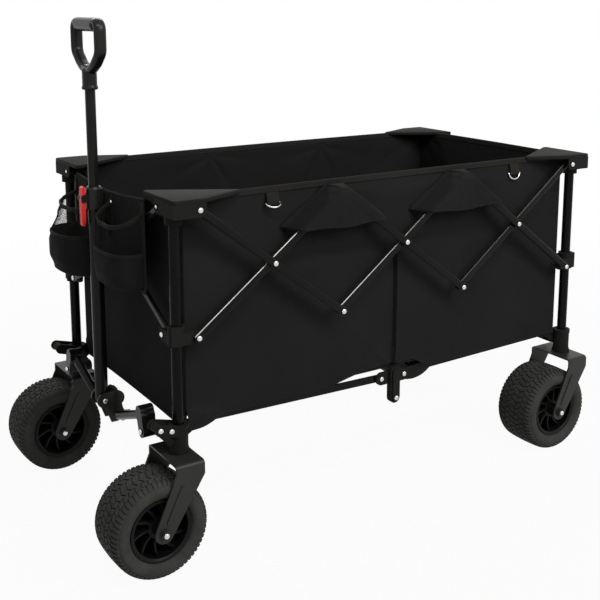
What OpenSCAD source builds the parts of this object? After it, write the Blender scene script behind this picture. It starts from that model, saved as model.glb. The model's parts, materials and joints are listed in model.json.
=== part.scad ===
// Folding camp wagon: four corner posts tied by scissor bars, a fabric tub, wide wheels and a pull handle.
// Millimetres. +Z is up, the pull handle is at -X, and the origin is on the ground amid the four wheels.

/* [Frame] */
// Distance between the front and rear posts
post_span_x = 950; // [900:5:1000]
// Distance between the right and left posts
post_span_y = 490; // [470:5:530]
// Outer diameter of a corner post
post_d = 20; // [18:0.5:21]
// Wall of a corner post
post_wall = 1.5; // [1:0.1:2]
// Height of the upper pivots above the ground
top_pivot_z = 636; // [620:1:660]
// Height of the sliding brackets' pivots above the ground
slider_pivot_z = 411; // [405:1:425]
// Side pivots' distance from the post axis, along the side
side_pivot_in = 32; // [31:0.5:36]
// End pivots' distance from the post axis, along the end
end_pivot_in = 30; // [29:0.5:34]

/* [Scissor bars] */
// Width of a scissor bar
bar_w = 15; // [13:0.5:16]
// Thickness of a scissor bar
bar_t = 8; // [7:0.25:8]
// Gap between the two layers of bars
bar_gap = 1.5; // [1.3:0.1:2]
// Inner face of the side bars, outboard of the post axis
side_layer = 16; // [16:0.25:17]
// Inner face of the end bars, inboard of the post axis
end_layer = 5; // [4:0.25:5]
// Diameter of a pivot rivet
rivet_d = 6; // [5:0.5:7]
// Diameter of a rivet head
rivet_head_d = 11; // [10:0.5:12]
// Height of a rivet head
rivet_head_h = 2.2; // [1.5:0.1:2.5]

/* [Corner mouldings] */
// Height of the top bracket's cap above the upper pivots
cap_above = 12; // [11:0.5:16]
// Thickness of the top bracket's cap
cap_t = 7; // [5:0.5:10]
// Reach of the cap's wing past the cheek, along the side
wing_x = 46; // [36:1:50]
// Reach of the cap's wing past the cheek, along the end
wing_y = 18; // [12:1:24]
// Reach of a bracket's cheek past its pivot
cheek_past = 12; // [10:0.5:13]
// Thickness of a bracket's cheek
cheek_t = 3; // [2.5:0.1:3.2]
// Outer diameter of a slider's sleeve
sleeve_d = 30; // [28:0.5:31]
// Height of a slider's sleeve
sleeve_h = 35; // [32:1:38]
// Outer diameter of a foot
foot_d = 36; // [34:0.5:40]
// Top of a foot above the ground
foot_top_z = 256; // [250:1:257]

/* [Lower links] */
// Side link pivot's distance from the post axis, along the side
floor_pivot_in = 54; // [54:1:60]
// Height of the side link pivots on the feet
floor_pivot_z = 249; // [247:0.5:250]
// Height of the side hubs' pivots
hub_pivot_z = 241; // [238:1:243]
// Side hub pivots' distance from the middle
hub_pivot_out = 28; // [26:1:34]
// End link pivot's distance from the post axis, along the end
link_pivot_in = 60; // [58:1:66]
// Height of the end link pivots on the feet
link_pivot_z = 228; // [226:0.5:231]
// Height of the end links' pivots at the middle
link_mid_z = 204; // [198:1:210]
// Handle bracket's link pivots' distance from the middle
bracket_pivot_out = 41; // [40:1:46]
// Diameter of an end link's tube
link_d = 17; // [15:0.5:18]

/* [Wheels] */
// Diameter of a tyre
wheel_d = 180; // [170:1:184]
// Width of a tyre
wheel_w = 102; // [96:1:106]
// Diameter of a rim where the tyre seats
rim_d = 114; // [108:1:118]
// Distance from a stem's axis forward to the axle
caster_trail = 56; // [50:1:60]
// Top of a fork's plate above the ground
fork_top_z = 205; // [203:0.5:207]
// Thickness of a fork's sheet
fork_t = 3.5; // [3:0.25:4]
// Length of a fork's plate
fork_plate_l = 54; // [48:1:58]
// Width of a fork's leg at the axle
fork_end_w = 35; // [28:1:38]
// Diameter of an axle
axle_d = 12; // [10:0.5:14]
// Ribs in a rim
rim_ribs = 10; // [6:1:12]
// Shoulder notches on each side of a tyre
tyre_notches = 20; // [12:1:24]

/* [Handle] */
// Handle axis forward of the front posts
handle_out = 43; // [42:1:50]
// Height of the handle's tilt pivot
handle_pivot_z = 228; // [226:1:232]
// Outer diameter of the lower handle tube
handle_d = 25; // [24:0.5:27]
// Outer diameter of the sliding handle tube
inner_d = 19; // [17:0.5:19.5]
// Wall of the sliding handle tube
handle_wall = 2.2; // [1.5:0.1:2.5]
// Top of the collar above the ground
collar_top_z = 641; // [630:1:660]
// Height of the collar
collar_h = 41; // [38:1:46]
// Bottom of the grip above the ground
grip_z = 819; // [800:1:840]
// Height of the grip
grip_h = 129; // [122:1:138]
// Width of the grip
grip_w = 128; // [118:1:140]
// Thickness of the grip's top bar
grip_bar_d = 25; // [23:0.5:28]
// Depth of the grip's arms
grip_depth = 23; // [20:0.5:24]
// Length of the sliding handle tube below the grip
slide_l = 386; // [370:2:390]
// Length of the lock lever
lever_h = 73; // [68:1:75]

/* [Fabric] */
// Tub side wall's distance inboard of the posts
tub_in_y = 8; // [7:0.5:12]
// Tub end wall's distance inboard of the posts
tub_in_x = 20; // [20:0.5:26]
// Bottom of the tub above the ground
tub_bottom_z = 258; // [257:1:265]
// Thickness of the fabric with its lining
fabric_t = 3; // [2.5:0.25:4]
// Thickness of the floor board
floor_t = 6; // [4:0.5:8]
// Width of a side flap at the rim
flap_top_w = 150; // [130:5:200]
// Width of a side flap at its lower edge
flap_low_w = 250; // [220:5:270]
// Depth of a side flap
flap_h = 82; // [70:1:90]
// Width of a front pouch
pouch_w = 138; // [120:1:160]
// Depth of a front pouch
pouch_out = 74; // [60:1:80]
// Front pouch's distance from the handle's plane
pouch_in = 22; // [19:1:30]
// Bottom of a front pouch above the ground
pouch_bottom_z = 470; // [460:1:490]
// Height of a front pouch
pouch_h = 136; // [120:1:145]
// Diameter of a tie-down ring's wire
ring_wire = 4; // [3:0.25:5]
// Width of a tie-down ring
ring_w = 34; // [30:1:38]

/* [Hidden] */
$fn = 48;
// Running clearance on a rivet or an axle
run_gap = 0.08;
// Clearance between pieces that slide past each other
slide_gap = 0.4;
// Clearance of a piece that is fixed on its post
seat_gap = 0.1;

front_x = -post_span_x / 2 + caster_trail;
rear_x = post_span_x / 2 + caster_trail;
mid_x = caster_trail;
half_y = post_span_y / 2;
bar_span = (post_span_x - 2 * side_pivot_in) / 3;
end_span = post_span_y - 2 * end_pivot_in;
cap_z = top_pivot_z + cap_above;
side_inner = side_layer + bar_t / 2;
side_outer = side_inner + bar_t + bar_gap;
side_reach = side_outer + bar_t / 2 + slide_gap;
end_inner = -end_layer + bar_t / 2;
end_outer = end_inner + bar_t + bar_gap;
end_reach = end_outer + bar_t / 2 + slide_gap;
rivet_r = rivet_d / 2;
rivet_bore = rivet_r + run_gap;
wheel_r = wheel_d / 2;
fork_w = wheel_w + 2 * fork_t + 3;
handle_x = front_x - handle_out;
collar_bottom_z = collar_top_z - collar_h;
rim_z = cap_z - slide_gap;
tub_x = post_span_x / 2 - tub_in_x;
tub_y = half_y - tub_in_y;
handle_bore = inner_d + 2 * slide_gap;
// How far the sliding tube is seated in the grip
grip_seat = 16;
lever_x = handle_x - handle_d / 2 - 9;
lever_pivot_z = collar_top_z - 20;
// Layers of the floor linkage from the outside: hub and front arms, front links, rear links
floor_link_t = 4.5;
arm_t = 6;
hub_t = 5;
hub_y = 4;
pin_head_t = 1.6;
front_link_y = hub_y + hub_t + slide_gap;
rear_link_y = front_link_y + floor_link_t + slide_gap + pin_head_t + slide_gap;
// Planes of the end links' tubes and their flat eyes, outward of the post axes
front_block_t = 26;
rear_block_t = 8;
link_eye_t = 5;
link_eye_w = 18;
// How far a link's flat eye runs into its tube
link_eye_in = 30;
bracket_back = end_reach + rivet_head_h + 1.5;
bracket_t = 4.5;
bracket_w = 24;
front_eye = bracket_back + bracket_t + slide_gap + link_eye_t / 2;
front_plane = front_eye + 7;
rear_plane = 9;
rear_eye = rear_plane + 5.5;
// Lowest edges of a foot's two arms
arm_low_z = fork_top_z + 9;

FRONT = 1;
REAR = -1;
RIGHT = 1;
LEFT = -1;

// Frames and small shapes

// Puts a corner at its post: children have +X inward along the side and +Y inward along the end
module at_corner(end, side) {
    translate([end == FRONT ? front_x : rear_x, side == RIGHT ? -half_y : half_y, 0])
        mirror([end == REAR ? 1 : 0, 0, 0])
        mirror([0, side == LEFT ? 1 : 0, 0])
        children();
}

// Mirrors a right-side piece to the left side
module on_side(side) {
    mirror([0, side == LEFT ? 1 : 0, 0]) children();
}

module along_y(y0, y1, r) {
    translate([0, max(y0, y1), 0]) rotate([90, 0, 0]) cylinder(r = r, h = abs(y1 - y0));
}

module along_x(x0, x1, r) {
    translate([min(x0, x1), 0, 0]) rotate([0, 90, 0]) cylinder(r = r, h = abs(x1 - x0));
}

module box(low, high) {
    translate(low) cube(high - low);
}

// Outline with round ends from the origin along +X
module slot(length, width) {
    translate([0, -width / 2]) square([length, width]);
    circle(d = width);
    translate([length, 0]) circle(d = width);
}

// A plate of a 2D outline in the XZ plane, between two y values
module xz_plate(y0, y1) {
    translate([0, max(y0, y1), 0]) rotate([90, 0, 0]) linear_extrude(abs(y1 - y0)) children();
}

// A plate of a 2D outline in the YZ plane, between two x values
module yz_plate(x0, x1) {
    translate([min(x0, x1), 0, 0]) rotate([90, 0, 90]) linear_extrude(abs(x1 - x0)) children();
}

// A rivet head as a low dome on a plane of constant y, swelling towards -Y
module rivet_head() {
    rotate([90, 0, 0]) intersection() {
        cylinder(d = rivet_head_d, h = rivet_head_h);
        translate([0, 0, rivet_head_h - rivet_head_d]) sphere(r = rivet_head_d);
    }
}

// Posts

module post() {
    color("#1b1b1c") translate([0, 0, link_pivot_z + 1]) difference() {
        cylinder(d = post_d, h = cap_z - link_pivot_z - 2);
        translate([0, 0, -1]) cylinder(d = post_d - 2 * post_wall, h = cap_z);
    }
}

// Corner mouldings: the top bracket and the foot

// Rivet fixed in a side cheek, with a spacer in the layer that holds no bar
module side_rivet(bar_outside, head_at) {
    along_y(-side_layer + 1, -head_at, rivet_r);
    spacer = rivet_r + 2.5;
    if (bar_outside)
        along_y(-side_layer + 1, -side_layer - bar_t - bar_gap + slide_gap, spacer);
    else if (head_at > side_reach)
        along_y(-side_layer - bar_t - slide_gap, -head_at, spacer);
    translate([0, -head_at, 0]) rivet_head();
}

module end_rivet(bar_outside) {
    spacer = rivet_r + 2.5;
    along_x(end_layer + 1, -end_reach - 1, rivet_r);
    if (bar_outside)
        along_x(end_layer + 1, end_layer - bar_t - bar_gap + slide_gap, spacer);
    else
        along_x(end_layer - bar_t - slide_gap, -end_reach - 1, spacer);
    translate([-end_reach - cheek_t, 0, 0]) rotate([0, 0, -90]) rivet_head();
}

// Side view of a cheek that rounds its pivot and rises to the cap
module cheek_outline(from, pivot) {
    round_r = cheek_past;
    translate([pivot, top_pivot_z]) circle(r = round_r);
    translate([from, top_pivot_z - round_r]) square([pivot - from, round_r + cap_above]);
    translate([pivot, top_pivot_z]) square([round_r, cap_above]);
}

// A bevelled slab of the cap over the given corners of its plan
module cap_slab(plan) {
    corner_r = 4;
    bevel = 2.5;
    translate([0, 0, cap_z]) hull() for (p = plan) translate([p[0], p[1], 0]) {
        cylinder(r = corner_r, h = cap_t - bevel, $fn = 32);
        cylinder(r = corner_r - bevel, h = cap_t, $fn = 32);
    }
}

// Cap with a sloping inner edge, and a wing that tapers to the rim on each side
module bracket_cap() {
    low_x = -end_reach - cheek_t + 4;
    low_y = -side_reach - cheek_t + 4;
    far_x = side_pivot_in + cheek_past - 4;
    far_y = end_pivot_in + cheek_past - 4;
    inner_x = end_layer + 4;
    inner_y = -side_layer + 8;
    cap_slab([[low_x, low_y], [far_x, low_y], [far_x, inner_y], [inner_x, far_y], [low_x, far_y]]);
    cap_slab([[inner_x, low_y], [far_x, low_y], [far_x + wing_x, inner_y], [inner_x, inner_y]]);
    cap_slab([[low_x, inner_y], [low_x, far_y], [inner_x, far_y + wing_y], [inner_x, inner_y]]);
}

module top_bracket(end, side) {
    collar_r = post_d / 2 + 6;
    difference() {
        union() {
            bracket_cap();
            translate([0, 0, top_pivot_z - cheek_past - 14])
                cylinder(r = collar_r, h = cap_above + cheek_past + 15);
            xz_plate(-side_reach - cheek_t, -side_reach) cheek_outline(-end_reach - cheek_t, side_pivot_in);
            xz_plate(-side_layer + slide_gap, -side_layer + slide_gap + cheek_t)
                cheek_outline(0, side_pivot_in);
            yz_plate(-end_reach - cheek_t, -end_reach) cheek_outline(-side_reach - cheek_t, end_pivot_in);
            yz_plate(end_layer + slide_gap, end_layer + slide_gap + cheek_t) cheek_outline(0, end_pivot_in);
            box([-end_reach - cheek_t, -side_reach - cheek_t, top_pivot_z - cheek_past],
                [post_d / 2 - 2, -post_d / 2 + 2, cap_z + 1]);
            translate([side_pivot_in, 0, top_pivot_z]) side_rivet(end == FRONT, side_reach + cheek_t);
            translate([0, end_pivot_in, top_pivot_z]) end_rivet(side == RIGHT);
        }
        translate([0, 0, -1]) cylinder(d = post_d + 2 * seat_gap, h = cap_z);
    }
}

module foot(end) {
    stem_r = 7 + run_gap;
    ring_z = fork_top_z + slide_gap;
    arm_y = (end == FRONT ? front_link_y : rear_link_y) - slide_gap - arm_t;
    block_back = end == FRONT ? front_plane - front_block_t / 2 : rear_plane - rear_block_t / 2;
    block_front = end == FRONT ? front_plane + front_block_t / 2 : rear_plane + rear_block_t / 2;
    difference() {
        union() {
            translate([0, 0, ring_z + 6]) cylinder(d = foot_d - 2, h = foot_top_z - ring_z - 6);
            translate([0, 0, foot_top_z - 8]) cylinder(d = foot_d, h = 8);
            translate([0, 0, ring_z]) cylinder(d = foot_d + 3, h = 3);
            translate([0, 0, ring_z + 3]) cylinder(d = foot_d, h = 4);
            // Arm along the side, for the floor link
            xz_plate(arm_y, arm_y + arm_t) {
                translate([0, floor_pivot_z]) slot(floor_pivot_in, 15);
                polygon([
                    [0, floor_pivot_z - 24], [0, floor_pivot_z], [floor_pivot_in - 14, floor_pivot_z - 7],
                    [14, floor_pivot_z - 24]
                ]);
            }
            // Arm along the end, for the end link
            yz_plate(-block_back + slide_gap, 6) {
                translate([0, link_pivot_z]) slot(link_pivot_in, 20);
                polygon([
                    [0, arm_low_z], [0, foot_top_z - 6], [14, foot_top_z - 6],
                    [link_pivot_in - 8, link_pivot_z + 8]
                ]);
            }
            translate([floor_pivot_in, arm_y + arm_t, floor_pivot_z]) link_rivet();
            translate([0, link_pivot_in, link_pivot_z]) {
                along_x(0, -block_front - slide_gap, rivet_r);
                translate([-block_front - slide_gap, 0, 0]) rotate([0, 0, -90]) rivet_head();
            }
            if (end == FRONT) stirrup();
        }
        translate([0, 0, link_pivot_z]) cylinder(d = post_d + 2 * seat_gap, h = foot_top_z);
        translate([0, 0, ring_z - 1]) cylinder(r = stem_r, h = link_pivot_z - ring_z - 1.5);
    }
}

// Two cheeks that reach forward from a front foot, riveted to it and to each other
module stirrup() {
    nose = [-41, 257];
    root = [0, 246];
    out_y = foot_d / 2 - 1;
    way = nose - root;
    for (y = [-out_y, out_y - 4]) xz_plate(y, y + 4)
        translate(root) rotate(atan2(way[1], way[0])) slot(norm(way), 20);
    translate([nose[0], 0, nose[1]]) along_y(-out_y, out_y, 8);
    for (f = [0.5, 1]) translate([root[0] + f * way[0], -out_y, root[1] + f * way[1]]) rivet_head();
}

// Rivet that holds a floor link on the inboard face of an arm or a hub
module link_rivet() {
    inside = floor_link_t + 2 * slide_gap;
    along_y(-1, inside, rivet_r);
    translate([0, inside, 0]) along_y(0, pin_head_t, rivet_head_d / 2);
}

module corner(end, side) {
    color("#202022") {
        top_bracket(end, side);
        foot(end);
    }
}

// Sliding brackets

module slider(end, side) {
    lug_r = 11;
    lug_in = -side_layer + slide_gap;
    color("#202022") translate([0, 0, slider_pivot_z]) difference() {
        union() {
            translate([0, 0, -13]) cylinder(d = sleeve_d, h = sleeve_h);
            // Flat outer corner of the moulding
            box([-end_reach, lug_in, -11], [0, 0, sleeve_h - 13]);
            // Lug for the side bar
            xz_plate(lug_in, lug_in + 5) slot(side_pivot_in, 2 * lug_r);
            translate([side_pivot_in, 0, 0])
                side_rivet(end == REAR, end == REAR ? side_reach : side_layer + bar_t + slide_gap);
            // Lug for the end bar, which it doesn't pierce
            if (side == RIGHT) {
                yz_plate(-end_reach, -end_outer + bar_t / 2 - slide_gap) slot(end_pivot_in, 2 * lug_r);
                translate([-end_reach, end_pivot_in, 0]) rotate([0, 0, -90]) rivet_head();
            } else
                yz_plate(-end_inner - bar_t / 2 + slide_gap, end_layer) slot(end_pivot_in, 2 * lug_r);
        }
        translate([0, 0, -14]) cylinder(d = post_d + 0.6, h = sleeve_h + 2);
    }
}

// Scissor bars

// Flat oval bar from the origin along +X, with bores or rivets at its three pivots
module scissor_bar(length, rivets) {
    stations = [0, length / 2, length];
    color("#161617") difference() {
        union() {
            intersection() {
                xz_plate(-bar_t / 2, bar_t / 2) slot(length, bar_w);
                rotate([90, 0, 90]) translate([0, 0, -bar_w / 2]) linear_extrude(length + bar_w)
                    rotate(90) translate([-(bar_w - bar_t) / 2, 0]) slot(bar_w - bar_t, bar_t);
            }
            for (i = [0 : 2]) if (rivets[i] == 1) translate([stations[i], 0, 0]) bar_rivet();
            for (i = [0 : 2]) if (rivets[i] == 2) translate([stations[i], -bar_t / 2, 0]) rivet_head();
        }
        for (i = [0 : 2]) if (rivets[i] == 0)
            translate([stations[i], 0, 0]) along_y(-bar_t, bar_t, rivet_bore);
    }
}

// Rivet through both layers, headed outside and inside
module bar_rivet() {
    inside = bar_t * 1.5 + bar_gap + slide_gap;
    along_y(0, inside, rivet_r);
    translate([0, inside, 0]) along_y(0, rivet_head_h, rivet_head_d / 2);
    translate([0, -bar_t / 2, 0]) rivet_head();
}

// Bar i of a side, counted from the front: odd bars fall to the rear in the outer layer
module side_bar(i) {
    pair = floor((i - 1) / 2);
    falls = i % 2 == 1;
    x0 = front_x + side_pivot_in + pair * bar_span;
    rise = top_pivot_z - slider_pivot_z;
    length = norm([bar_span, rise]);
    slope = atan2(rise, bar_span);
    rivets = !falls ? [0, 0, 0] : i == 1 ? [0, 1, 1] : i == 3 ? [1, 1, 1] : [1, 1, 0];
    translate([x0, -half_y - (falls ? side_outer : side_inner), falls ? top_pivot_z : slider_pivot_z])
        rotate([0, falls ? slope : -slope, 0]) scissor_bar(length, rivets);
}

// Bars of an end: a falls from the right top bracket in the outer layer, b from the left one behind it
module end_bar(end, outer) {
    rise = top_pivot_z - slider_pivot_z;
    length = norm([end_span, rise]);
    slope = atan2(rise, end_span);
    starts_right = (end == REAR);
    falls = (outer == starts_right);
    translate([end == FRONT ? front_x : rear_x, starts_right ? -half_y : half_y, 0])
        rotate([0, 0, starts_right ? 90 : -90])
        translate([end_pivot_in, -(outer ? end_outer : end_inner), falls ? top_pivot_z : slider_pivot_z])
        rotate([0, falls ? slope : -slope, 0])
        scissor_bar(length, !outer ? (falls ? [0, 0, 3] : [3, 0, 0]) : falls ? [0, 1, 2] : [2, 1, 0]);
}

// Lower links, hubs and the handle bracket

module floor_link(end) {
    run = post_span_x / 2 - floor_pivot_in - hub_pivot_out;
    drop = floor_pivot_z - hub_pivot_z;
    y0 = end == FRONT ? front_link_y : rear_link_y;
    color("#161617") translate([floor_pivot_in, 0, floor_pivot_z])
        rotate([0, atan2(drop, run), 0]) difference() {
            union() {
                xz_plate(y0, y0 + floor_link_t) slot(norm([run, drop]), 14);
                if (end == REAR) translate([norm([run, drop]), y0 + floor_link_t, 0])
                    along_y(-1, pin_head_t, rivet_head_d / 2);
            }
            along_y(-40, 40, rivet_bore);
            if (end == FRONT) translate([norm([run, drop]), 0, 0]) along_y(-40, 40, rivet_bore);
        }
}

// Side hub: lugs for the two links under the tub's edge, and a socket that stands outside its wall
module side_hub() {
    socket_w = 24;
    lug_w = 26;
    socket_out = 8;
    socket_in = tub_in_y - slide_gap;
    socket_low = tub_bottom_z - 70;
    socket_high = tub_bottom_z + 6;
    web_high = tub_bottom_z - 1;
    color("#202022") translate([mid_x, -half_y, 0]) {
        xz_plate(hub_y, hub_y + hub_t)
            translate([-hub_pivot_out, hub_pivot_z]) slot(2 * hub_pivot_out, lug_w);
        // Socket with round long edges
        xz_plate(-socket_out + 4, socket_in) translate([0, socket_low + socket_w / 2])
            rotate(90) slot(socket_high - socket_low - socket_w, socket_w);
        xz_plate(-socket_out, socket_in) translate([0, socket_low + socket_w / 2])
            rotate(90) slot(socket_high - socket_low - socket_w, socket_w - 8);
        box([-socket_w / 2, -2, hub_pivot_z - lug_w / 2], [socket_w / 2, hub_y + hub_t, web_high]);
        translate([-hub_pivot_out, hub_y + hub_t, hub_pivot_z]) link_rivet();
        // Boss that the rear link lies against
        translate([hub_pivot_out, 0, hub_pivot_z]) along_y(hub_y + 1, rear_link_y - slide_gap, 9);
        for (x = [-hub_pivot_out, hub_pivot_out]) translate([x, hub_y, hub_pivot_z]) rivet_head();
        translate([0, -socket_out, socket_low + socket_w / 2]) rivet_head();
    }
}

// The front links meet the handle bracket's face, and the rear links meet each other in two planes
module front_link(pinned) {
    end_link(bracket_pivot_out, front_plane, front_block_t, front_eye, 17, pinned ? "bore" : "rivet");
}

module rear_link(outer) {
    end_link(0, rear_plane, rear_block_t, outer ? rear_eye : rear_eye - link_eye_t - slide_gap, 40,
        outer ? "rivet" : "plain");
}

// End link: a tube that runs from a deep end block on the foot down to a flat eye, eye_l from the middle
module end_link(mid_out, plane, block_t, eye_plane, eye_l, eye) {
    start = [link_pivot_in, link_pivot_z];
    finish = [half_y - mid_out, link_mid_z];
    lift = 26;
    tube_from = start + [14, lift];
    whole = finish - tube_from;
    way = whole * (1 - eye_l / norm(whole));
    reach = plane + block_t;
    color("#1b1b1c") difference() {
        union() {
            // End block
            yz_plate(-plane - block_t / 2, -plane + block_t / 2) {
                translate(start) rotate(atan2(lift + 8, 10)) slot(norm([10, lift + 8]), 22);
                translate(start + [8, lift]) circle(d = 26);
            }
            translate([-plane, tube_from[0], tube_from[1]])
                rotate([atan2(-way[0], way[1]), 0, 0]) cylinder(d = link_d, h = norm(way));
            // Flat eye at the middle
            yz_plate(-eye_plane - link_eye_t / 2, -eye_plane + link_eye_t / 2)
                translate(finish) rotate(atan2(tube_from[1] - finish[1], tube_from[0] - finish[0]))
                slot(eye_l + link_eye_in, link_eye_w);
            if (eye == "rivet") translate([-eye_plane - link_eye_t / 2, finish[0], finish[1]])
                rotate([0, 0, -90]) rivet_head();
        }
        translate([0, start[0], start[1]]) along_x(-reach, reach, rivet_bore);
        if (eye == "bore") translate([0, finish[0], finish[1]]) along_x(-reach, reach, rivet_bore);
    }
}

// Pressed bracket that hangs between the front links and carries the handle in two ears
module handle_bracket() {
    plate_x = front_x - bracket_back - bracket_t;
    ear_gap = handle_d + 2 * slide_gap + 2;
    ear_t = 4;
    reach = handle_out - bracket_back;
    pin_l = link_eye_t + 2 * slide_gap;
    color("#202022") {
        union() {
            yz_plate(plate_x, plate_x + bracket_t) {
                translate([-bracket_pivot_out, link_mid_z]) slot(2 * bracket_pivot_out, bracket_w);
                polygon([
                    [-bracket_pivot_out, link_mid_z + bracket_w / 2],
                    [bracket_pivot_out, link_mid_z + bracket_w / 2],
                    [ear_gap / 2 + ear_t, handle_pivot_z + 16], [-ear_gap / 2 - ear_t, handle_pivot_z + 16]
                ]);
            }
            for (s = [-1, 1]) translate([0, s * (ear_gap + ear_t) / 2, 0]) xz_plate(-ear_t / 2, ear_t / 2) {
                translate([handle_x, handle_pivot_z]) slot(reach - bracket_t / 2, 30);
                polygon([
                    [plate_x + bracket_t, link_mid_z - 22], [plate_x + bracket_t, handle_pivot_z],
                    [handle_x, handle_pivot_z - 15], [plate_x - 10, link_mid_z - 22]
                ]);
            }
            translate([handle_x, 0, handle_pivot_z]) {
                along_y(-ear_gap / 2 - ear_t, ear_gap / 2 + ear_t, 4);
                for (m = [0, 1]) mirror([0, m, 0])
                    translate([0, -ear_gap / 2 - ear_t, 0]) rivet_head();
            }
            translate([plate_x, -bracket_pivot_out, link_mid_z]) {
                along_x(1, -pin_l, rivet_r);
                translate([-pin_l, 0, 0]) rotate([0, 0, -90]) rivet_head();
            }
        }
    }
}

// Casters

module fork() {
    axle = [-caster_trail, wheel_r];
    lean = atan2(fork_top_z - wheel_r, caster_trail);
    across = [sin(lean), -cos(lean)] * fork_end_w / 2;
    bend_r = 7;
    plate_front = -fork_plate_l / 2 - 5;
    plate_back = fork_plate_l / 2 - 5;
    color("#161617") {
        difference() {
            union() {
                intersection() {
                    // Pressed channel: plate, two bends and two legs
                    yz_plate(-caster_trail - fork_end_w, fork_plate_l) difference() {
                        fork_section(fork_w, fork_top_z, bend_r);
                        fork_section(fork_w - 2 * fork_t, fork_top_z - fork_t, bend_r - fork_t);
                    }
                    xz_plate(-fork_w, fork_w) {
                        translate(axle) circle(d = fork_end_w);
                        polygon([
                            axle + across, axle - across, [plate_front, fork_top_z - 18],
                            [plate_front, fork_top_z], [plate_back, fork_top_z],
                            [plate_back, fork_top_z - 24]
                        ]);
                    }
                }
                // Pressed rib on each leg
                for (m = [0, 1]) mirror([0, m, 0]) xz_plate(-fork_w / 2 - 1.8, -fork_w / 2 + 1)
                    translate(axle + [20 * cos(lean), 20 * sin(lean)]) rotate(lean) slot(62, 9);
                translate([0, 0, fork_top_z - 1]) cylinder(r = 7, h = link_pivot_z - fork_top_z - 3);
            }
            translate([axle[0], 0, axle[1]]) along_y(-fork_w, fork_w, axle_d / 2 + seat_gap);
        }
    }
    color("silver") translate([axle[0], 0, axle[1]]) {
        along_y(-fork_w / 2 - 0.1, fork_w / 2 + 0.1, axle_d / 2);
        for (m = [0, 1]) mirror([0, m, 0]) {
            translate([0, -fork_w / 2 - 0.1, 0]) along_y(-1.5, 0, axle_d / 2 + 4);
            translate([0, -fork_w / 2 - 1.6, 0]) rotate([90, 0, 0])
                cylinder(r = axle_d / 2 + 2.5, h = 5.5, $fn = 6);
        }
    }
}

// Cross-section of a channel that is open below, with rounded upper corners
module fork_section(width, top, r) {
    translate([-width / 2, 0]) square([width, top - r]);
    translate([-width / 2 + r, 0]) square([width - 2 * r, top]);
    for (s = [-1, 1]) translate([s * (width / 2 - r), top - r]) circle(r = r);
}

module at_axle() {
    translate([-caster_trail, 0, wheel_r]) rotate([90, 0, 0]) children();
}

// Deep dished rim with curved ribs round a long hub
module rim() {
    hub_r = 19;
    hub_l = fork_w - 2 * fork_t - 2 * slide_gap;
    barrel_t = 4;
    barrel_w = wheel_w - 14;
    rib_t = 4;
    rib_w = barrel_w - 26;
    barrel_r = rim_d / 2 - seat_gap;
    arc_r = (barrel_r - hub_r) * 1.15;
    color("#1a1a1b") at_axle() difference() {
        union() {
            rotate_extrude() {
                translate([0, -hub_l / 2]) square([hub_r - 6, hub_l]);
                polygon([
                    [0, -barrel_w / 2 + 10], [hub_r, -rib_w / 2], [hub_r, rib_w / 2], [0, barrel_w / 2 - 10]
                ]);
                translate([0, -2.5]) square([barrel_r - 1, 5]);
                translate([barrel_r - barrel_t, -barrel_w / 2]) square([barrel_t, barrel_w]);
                for (s = [-1, 1]) translate([barrel_r - barrel_t, s * (barrel_w / 2 - 2) - 2]) polygon([
                    [0, 0], [0, 4], [-3, 2]
                ]);
            }
            linear_extrude(rib_w, center = true) for (i = [0 : rim_ribs - 1]) rotate(i * 360 / rim_ribs)
                intersection() {
                    difference() {
                        circle(r = barrel_r - 1);
                        circle(r = hub_r - 1);
                    }
                    translate([hub_r - 1, arc_r]) difference() {
                        circle(r = arc_r + rib_t / 2);
                        circle(r = arc_r - rib_t / 2);
                        translate([-2 * arc_r, -2 * arc_r]) square([2 * arc_r, 4 * arc_r]);
                    }
                }
        }
        cylinder(r = axle_d / 2 + run_gap, h = wheel_w * 2, center = true);
    }
}

// Wide tyre with a flat crown, two grooves and notched shoulders
module tyre() {
    seat_r = rim_d / 2;
    half_w = wheel_w / 2;
    crown = half_w - 12;
    groove_w = 5;
    groove_h = 4;
    notch_w = 7;
    color("#171718") at_axle() difference() {
        rotate_extrude() difference() {
            polygon([
                [seat_r, -half_w + 8], [seat_r + 6, -half_w + 3], [seat_r + 14, -half_w],
                [wheel_r - 12, -half_w + 1.5], [wheel_r - 4, -half_w + 5], [wheel_r, -crown],
                [wheel_r, crown], [wheel_r - 4, half_w - 5], [wheel_r - 12, half_w - 1.5],
                [seat_r + 14, half_w], [seat_r + 6, half_w - 3], [seat_r, half_w - 8]
            ]);
            for (s = [-1, 1]) translate([wheel_r - groove_h, s * crown / 3 - groove_w / 2])
                square([groove_h + 1, groove_w]);
        }
        for (s = [0, 1]) mirror([0, 0, s]) for (i = [0 : tyre_notches - 1])
            rotate((i + s / 2) * 360 / tyre_notches)
            translate([wheel_r - 5, -notch_w / 2, crown / 3 + groove_w]) cube([9, notch_w, half_w]);
    }
}

// Pull handle

module handle_tube() {
    eye_h = 26;
    top = collar_bottom_z - seat_gap;
    color("#161617") translate([handle_x, 0, 0]) difference() {
        union() {
            translate([0, 0, handle_pivot_z]) cylinder(d = handle_d, h = top - handle_pivot_z);
            intersection() {
                along_y_at(handle_pivot_z, handle_d / 2, handle_d / 2);
                translate([0, 0, handle_pivot_z - handle_d]) cylinder(d = handle_d, h = 2 * handle_d);
            }
        }
        translate([0, 0, handle_pivot_z + eye_h]) cylinder(d = handle_bore, h = top);
        translate([0, 0, handle_pivot_z]) along_y(-handle_d, handle_d, 4 + run_gap);
    }
}

module along_y_at(z, half, r) {
    translate([0, 0, z]) along_y(-half, half, r);
}

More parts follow.
